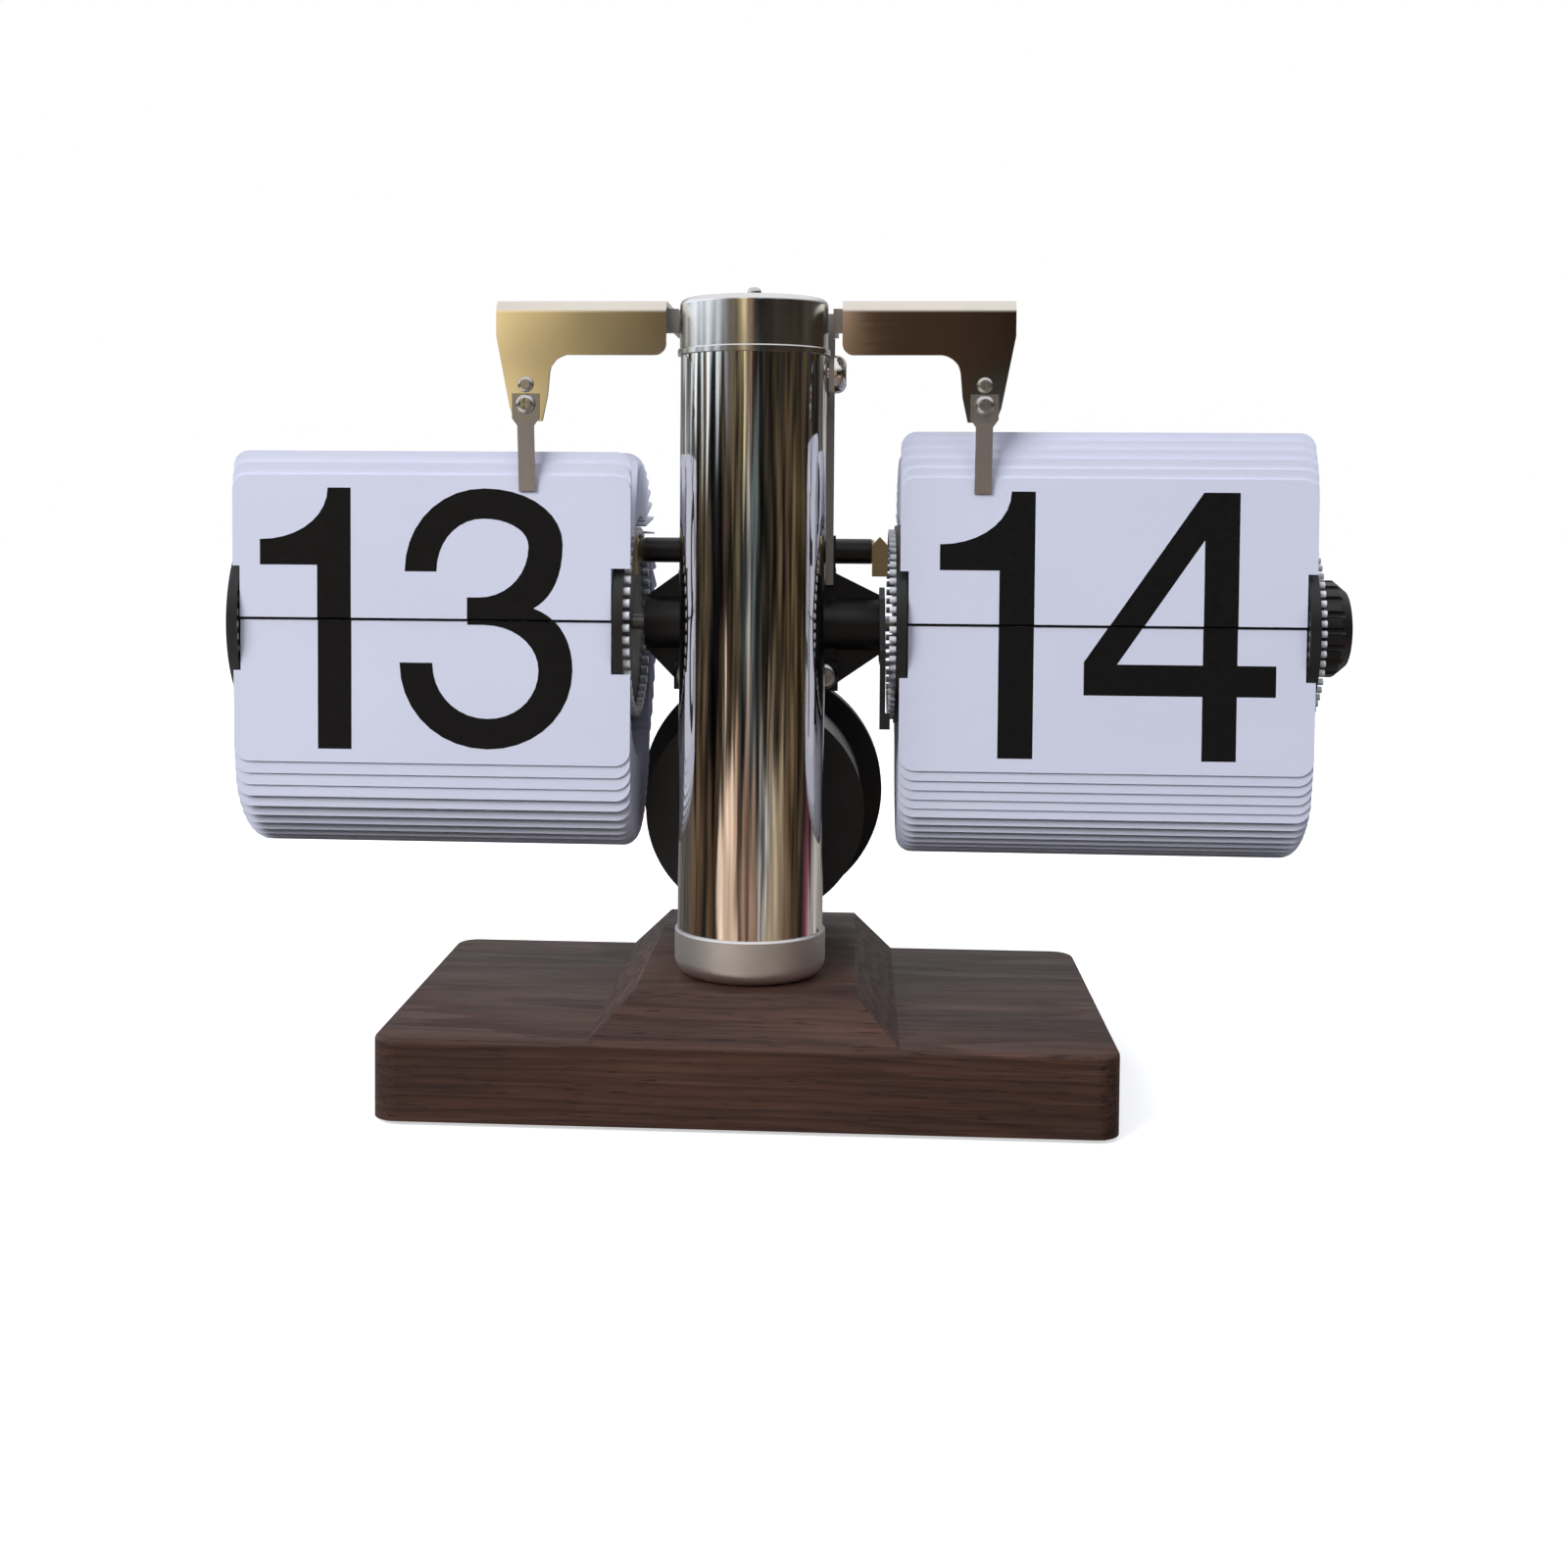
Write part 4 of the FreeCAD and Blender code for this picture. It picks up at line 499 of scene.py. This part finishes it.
def print_and_shade_piece(name, body, halves):
    """One mesh of printed halves and their painted split-line shade: each is (outlines, hinge y, hinge z,
    tilt, upper half or not).
    """
    mesh = bmesh.new()
    for shapes, hinge_y, hinge_z, tilt, upper in halves:
        hinge_rise = abs(hinge_z - SPLIT_Z) if tilt in (0, 180) else HINGE_RISE[name.split("_")[0]]
        skin = SHEET / 2 + INK_THICKNESS
        if upper:
            on_card = Matrix.Translation((0, -skin, -hinge_rise))
        else:
            on_card = Matrix.Translation((0, skin, -hinge_rise)) @ Matrix.Rotation(math.pi, 4, "X")
        turned = Matrix.Rotation(-math.radians(tilt), 4, "X")
        place = Matrix.Scale(MM, 4) @ Matrix.Translation((0, hinge_y, hinge_z)) @ turned @ on_card
        half_print(mesh, shapes, upper, place)
    data = bpy.data.meshes.new(name)
    mesh.to_mesh(data)
    mesh.free()
    data.materials.append(INK_AND_SHADE)
    piece = bpy.data.objects.new(name, data)
    bpy.context.scene.collection.objects.link(piece)
    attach(piece, body)
    return piece


HINGE_RISE = {drum: HINGE_RADIUS * math.sin(math.pi / values[0]) for drum, values in DRUMS.items()}


def shown(drum, index):
    """The number on the face of a card: the first card shows 13 hours or 14 minutes."""
    if drum == "hour":
        return "%02d" % ((13 + math.ceil(index / 2)) % 24)
    return "%02d" % ((14 + index) % 60)


for drum, (cards, standing, middle, left) in DRUMS.items():
    places = card_places(cards, standing)
    outlines = {index: number_loops(shown(drum, index), middle) for index in range(1, cards)}
    outlines[0] = number_loops(shown(drum, 0), middle, left)
    # every card also carries a black strip at its hinge edge: painted shade for the dark gap at the split
    # line
    outlines = {index: shapes + painted_split_shade(drum) for index, shapes in outlines.items()}
    last_upper = cards - cards // 4
    front = [(outlines[0], *places[0], True), (outlines[1], *places[0], False)]
    print_and_shade_piece(drum + "_print_front", drum + "_card", front)
    behind = [(outlines[index], *places[index], True) for index in range(1, last_upper)]
    print_and_shade_piece(drum + "_print_upper", "clock", behind)
    print_and_shade_piece(drum + "_print_lower", "clock", [(outlines[0], *places[-1], False)])


# ---------------------------------------------------------------- studio

def stage_plane(name, corners, color, roughness, glow=0.0):
    data = bpy.data.meshes.new(name)
    data.from_pydata(corners, [], [tuple(range(len(corners)))])
    piece = bpy.data.objects.new(name, data)
    bpy.context.scene.collection.objects.link(piece)
    paint = Finish(name, color, roughness, Emission_Color=(1, 1, 1, 1), Emission_Strength=glow)
    tone = paint.noise(paint.place, scale=30, detail=2)
    paint.set("Roughness", paint.span(tone, roughness - 0.05, roughness + 0.05))
    data.materials.append(paint.material)
    return piece


floor = stage_plane("floor", [(-4, -3, 0), (4, -3, 0), (4, 5, 0), (-4, 5, 0)], (0.86, 0.86, 0.86), 0.7, 0.55)
floor.visible_glossy = False
floor.visible_diffuse = False


class Sky(NodeTree):
    """The room that the metal mirrors: compass turn and height of each direction, as colours."""

    def __init__(self):
        world = bpy.data.worlds.new("studio")
        bpy.context.scene.world = world
        world.use_nodes = True
        super().__init__(world.node_tree)
        self.nodes.clear()
        split = self.nodes.new("ShaderNodeSeparateXYZ")
        self.links.new(self.nodes.new("ShaderNodeTexCoord").outputs["Generated"], split.inputs[0])
        self.height = split.outputs["Z"]
        turn = self.math("ARCTAN2", split.outputs["X"], split.outputs["Y"])
        self.turn = self.math("DIVIDE", turn, 2 * math.pi)

    def glow(self, color):
        """A background shader that shines with a colour."""
        node = self.nodes.new("ShaderNodeBackground")
        if isinstance(color, tuple):
            node.inputs["Color"].default_value = (*color, 1)
        else:
            self.links.new(color, node.inputs["Color"])
        return node.outputs[0]

    def shade(self, factor, first, second):
        """A mix of two shaders."""
        node = self.nodes.new("ShaderNodeMixShader")
        for index, source in enumerate((factor, first, second)):
            self.links.new(source, node.inputs[index])
        return node.outputs[0]

    def streaks(self, wide, high, seed):
        """A noise drawn out up and down, so that its bands run nearly upright."""
        place = self.nodes.new("ShaderNodeCombineXYZ")
        self.links.new(self.math("MULTIPLY", self.turn, wide), place.inputs[0])
        self.links.new(self.math("MULTIPLY", self.height, high), place.inputs[1])
        place.inputs[2].default_value = seed
        return self.noise(place.outputs[0], detail=3, roughness=0.5)


def studio_world():
    """White to the viewer, soft and dim as plain light, and a warm dark room in reflections."""
    sky = Sky()
    wander = sky.span(sky.streaks(14, 11, 3.7), -0.018, 0.018)
    even = sky.math("ADD", sky.turn, 0.5)
    turn = sky.math("ADD", even, wander)
    # a turn of 0.5 is the back of the object, 0 and 1 are behind the viewer, 0.25 is the left
    ragged = sky.math("ADD", sky.height, sky.span(sky.streaks(46, 7, 8.1), -0.08, 0.08))
    room = sky.mix(sky.span(ragged, 1.0, 0.0, -0.155, -0.115), sky.ramp(turn, *ROOM_MIDDLE),
                   sky.ramp(turn, *ROOM_LOW))
    thin = sky.ramp(sky.streaks(54, 15, 1.3), (0.36, 0.08), (0.5, 0.8), (0.62, 1.7))
    room = sky.mix(sky.span(ragged, 0.35, 1.0, -0.19, -0.12), room, thin, "MULTIPLY")
    light = sky.mix(sky.span(ragged, 0.0, 1.0, 0.045, 0.115), room, sky.ramp(even, *ROOM_HIGH))
    light = sky.mix(sky.span(sky.height, 0.0, 1.0, 0.25, 0.6), light, (0.95, 0.96, 1.0))
    below = sky.ramp(turn, (0.0, (0.25, 0.21, 0.18)), (0.08, (0.9, 0.86, 0.82)), (0.36, (0.9, 0.88, 0.85)),
                     (0.5, (0.3, 0.28, 0.26)), (0.75, (0.12, 0.10, 0.09)), (1.0, (0.25, 0.21, 0.18)))
    light = sky.mix(sky.span(sky.height, 1.0, 0.0, -0.42, -0.26), light, below)
    plain = sky.ramp(sky.span(sky.height, 0.0, 1.0, -1.0, 1.0), (0.0, (0.02, 0.018, 0.015)),
                     (0.47, (0.05, 0.045, 0.042)), (0.75, (0.46, 0.48, 0.56)), (1.0, (0.60, 0.62, 0.72)))
    path = sky.nodes.new("ShaderNodeLightPath")
    output = sky.nodes.new("ShaderNodeOutputWorld")
    mirrored = sky.shade(path.outputs["Is Glossy Ray"], sky.glow(plain), sky.glow(light))
    seen = sky.shade(path.outputs["Is Camera Ray"], mirrored, sky.glow((1, 1, 1)))
    sky.links.new(seen, output.inputs["Surface"])


ROOM_HIGH = [(0.0, (0.45, 0.28, 0.19)), (0.015, (0.09, 0.065, 0.04)), (0.023, (0.42, 0.34, 0.19)),
             (0.034, (1.40, 1.16, 0.68)),
             (0.06, (0.30, 0.24, 0.15)), (0.10, (0.12, 0.11, 0.10)), (0.15, (0.80, 0.86, 0.92)),
             (0.20, (1.15, 1.25, 1.35)), (0.36, (1.1, 1.2, 1.3)), (0.41, (0.35, 0.35, 0.36)),
             (0.5, (0.5, 0.5, 0.5)), (0.66, (0.10, 0.09, 0.08)), (0.75, (0.03, 0.028, 0.025)),
             (0.83, (0.012, 0.012, 0.011)), (0.90, (0.05, 0.04, 0.03)), (0.945, (0.015, 0.012, 0.01)),
             (0.982, (0.003, 0.003, 0.003)), (0.991, (0.05, 0.03, 0.02))]
ROOM_MIDDLE = [(0.0, (0.26, 0.18, 0.13)), (0.012, (0.36, 0.36, 0.35)), (0.03, (0.02, 0.03, 0.034)),
               (0.06, (0.13, 0.10, 0.06)), (0.09, (0.07, 0.05, 0.035)), (0.125, (0.05, 0.037, 0.026)),
               (0.15, (0.006, 0.007, 0.007)), (0.19, (0.012, 0.012, 0.011)), (0.215, (0.09, 0.066, 0.042)),
               (0.27, (0.05, 0.042, 0.03)), (0.31, (0.03, 0.03, 0.03)), (0.37, (0.30, 0.31, 0.33)),
               (0.42, (0.25, 0.25, 0.25)), (0.5, (0.5, 0.5, 0.5)), (0.60, (0.25, 0.24, 0.23)),
               (0.66, (0.03, 0.028, 0.025)), (0.72, (0.05, 0.036, 0.024)), (0.77, (0.085, 0.06, 0.033)),
               (0.81, (0.12, 0.087, 0.048)), (0.855, (0.05, 0.034, 0.022)), (0.885, (0.10, 0.075, 0.045)),
               (0.91, (0.014, 0.011, 0.009)), (0.94, (0.05, 0.038, 0.028)),
               (0.965, (0.012, 0.016, 0.018)), (0.985, (0.09, 0.11, 0.11))]
ROOM_LOW = [(0.0, (0.16, 0.09, 0.07)), (0.02, (0.36, 0.24, 0.18)), (0.045, (0.09, 0.055, 0.04)),
            (0.055, (0.80, 0.58, 0.44)), (0.125, (0.95, 0.73, 0.57)), (0.135, (0.02, 0.015, 0.01)),
            (0.17, (0.12, 0.075, 0.045)), (0.20, (0.01, 0.01, 0.009)), (0.25, (0.14, 0.09, 0.055)),
            (0.33, (0.09, 0.08, 0.07)), (0.42, (0.14, 0.13, 0.12)), (0.5, (0.3, 0.29, 0.28)),
            (0.60, (0.35, 0.33, 0.31)), (0.66, (0.55, 0.52, 0.50)), (0.70, (0.22, 0.07, 0.10)),
            (0.75, (0.012, 0.012, 0.011)), (0.80, (0.10, 0.065, 0.04)), (0.84, (0.20, 0.14, 0.09)),
            (0.875, (0.44, 0.36, 0.25)), (0.915, (0.50, 0.41, 0.30)), (0.925, (0.66, 0.64, 0.62)),
            (0.94, (0.03, 0.03, 0.035)), (0.95, (0.60, 0.58, 0.56)), (0.965, (0.22, 0.14, 0.10)),
            (0.985, (0.30, 0.20, 0.15))]
studio_world()


def softbox(name, place, aim, wide, high, power, color=(1, 1, 1)):
    light = bpy.data.lights.new(name, "AREA")
    light.shape = "RECTANGLE"
    light.size, light.size_y = wide, high
    light.energy = power
    light.color = color
    lamp = bpy.data.objects.new(name, light)
    lamp.location = place
    lamp.rotation_euler = (Vector(aim) - Vector(place)).to_track_quat("-Z", "Y").to_euler()
    lamp.visible_glossy = False
    bpy.context.scene.collection.objects.link(lamp)
    return lamp


softbox("key", (-0.9, -0.9, 0.9), (0, 0, 0.08), 0.9, 0.9, 22, (0.96, 0.98, 1.0))
softbox("fill", (0.9, -1.1, 0.6), (0, 0, 0.08), 1.0, 0.8, 3.5, (0.98, 0.98, 1.0))
softbox("top", (0, 0.2, 1.3), (0, 0, 0), 1.4, 1.4, 5)

camera = bpy.data.cameras.new("camera")
camera.sensor_width = 36
camera.lens = 43.26
camera.shift_x, camera.shift_y = 0.0334, -0.1268
camera.clip_start, camera.clip_end = 0.01, 50
viewer = bpy.data.objects.new("camera", camera)
YAW, PITCH_DOWN, ROLL = 0.06342, 0.0402, 0.00663
turn = (Matrix.Rotation(YAW, 4, "Z") @ Matrix.Rotation(math.pi / 2 - PITCH_DOWN, 4, "X")
        @ Matrix.Rotation(ROLL, 4, "Z"))
viewer.matrix_world = Matrix.Translation((0.01865, -0.37009, 0.1111)) @ turn
bpy.context.scene.collection.objects.link(viewer)
bpy.context.scene.camera = viewer
bpy.context.scene.view_settings.view_transform = "Standard"
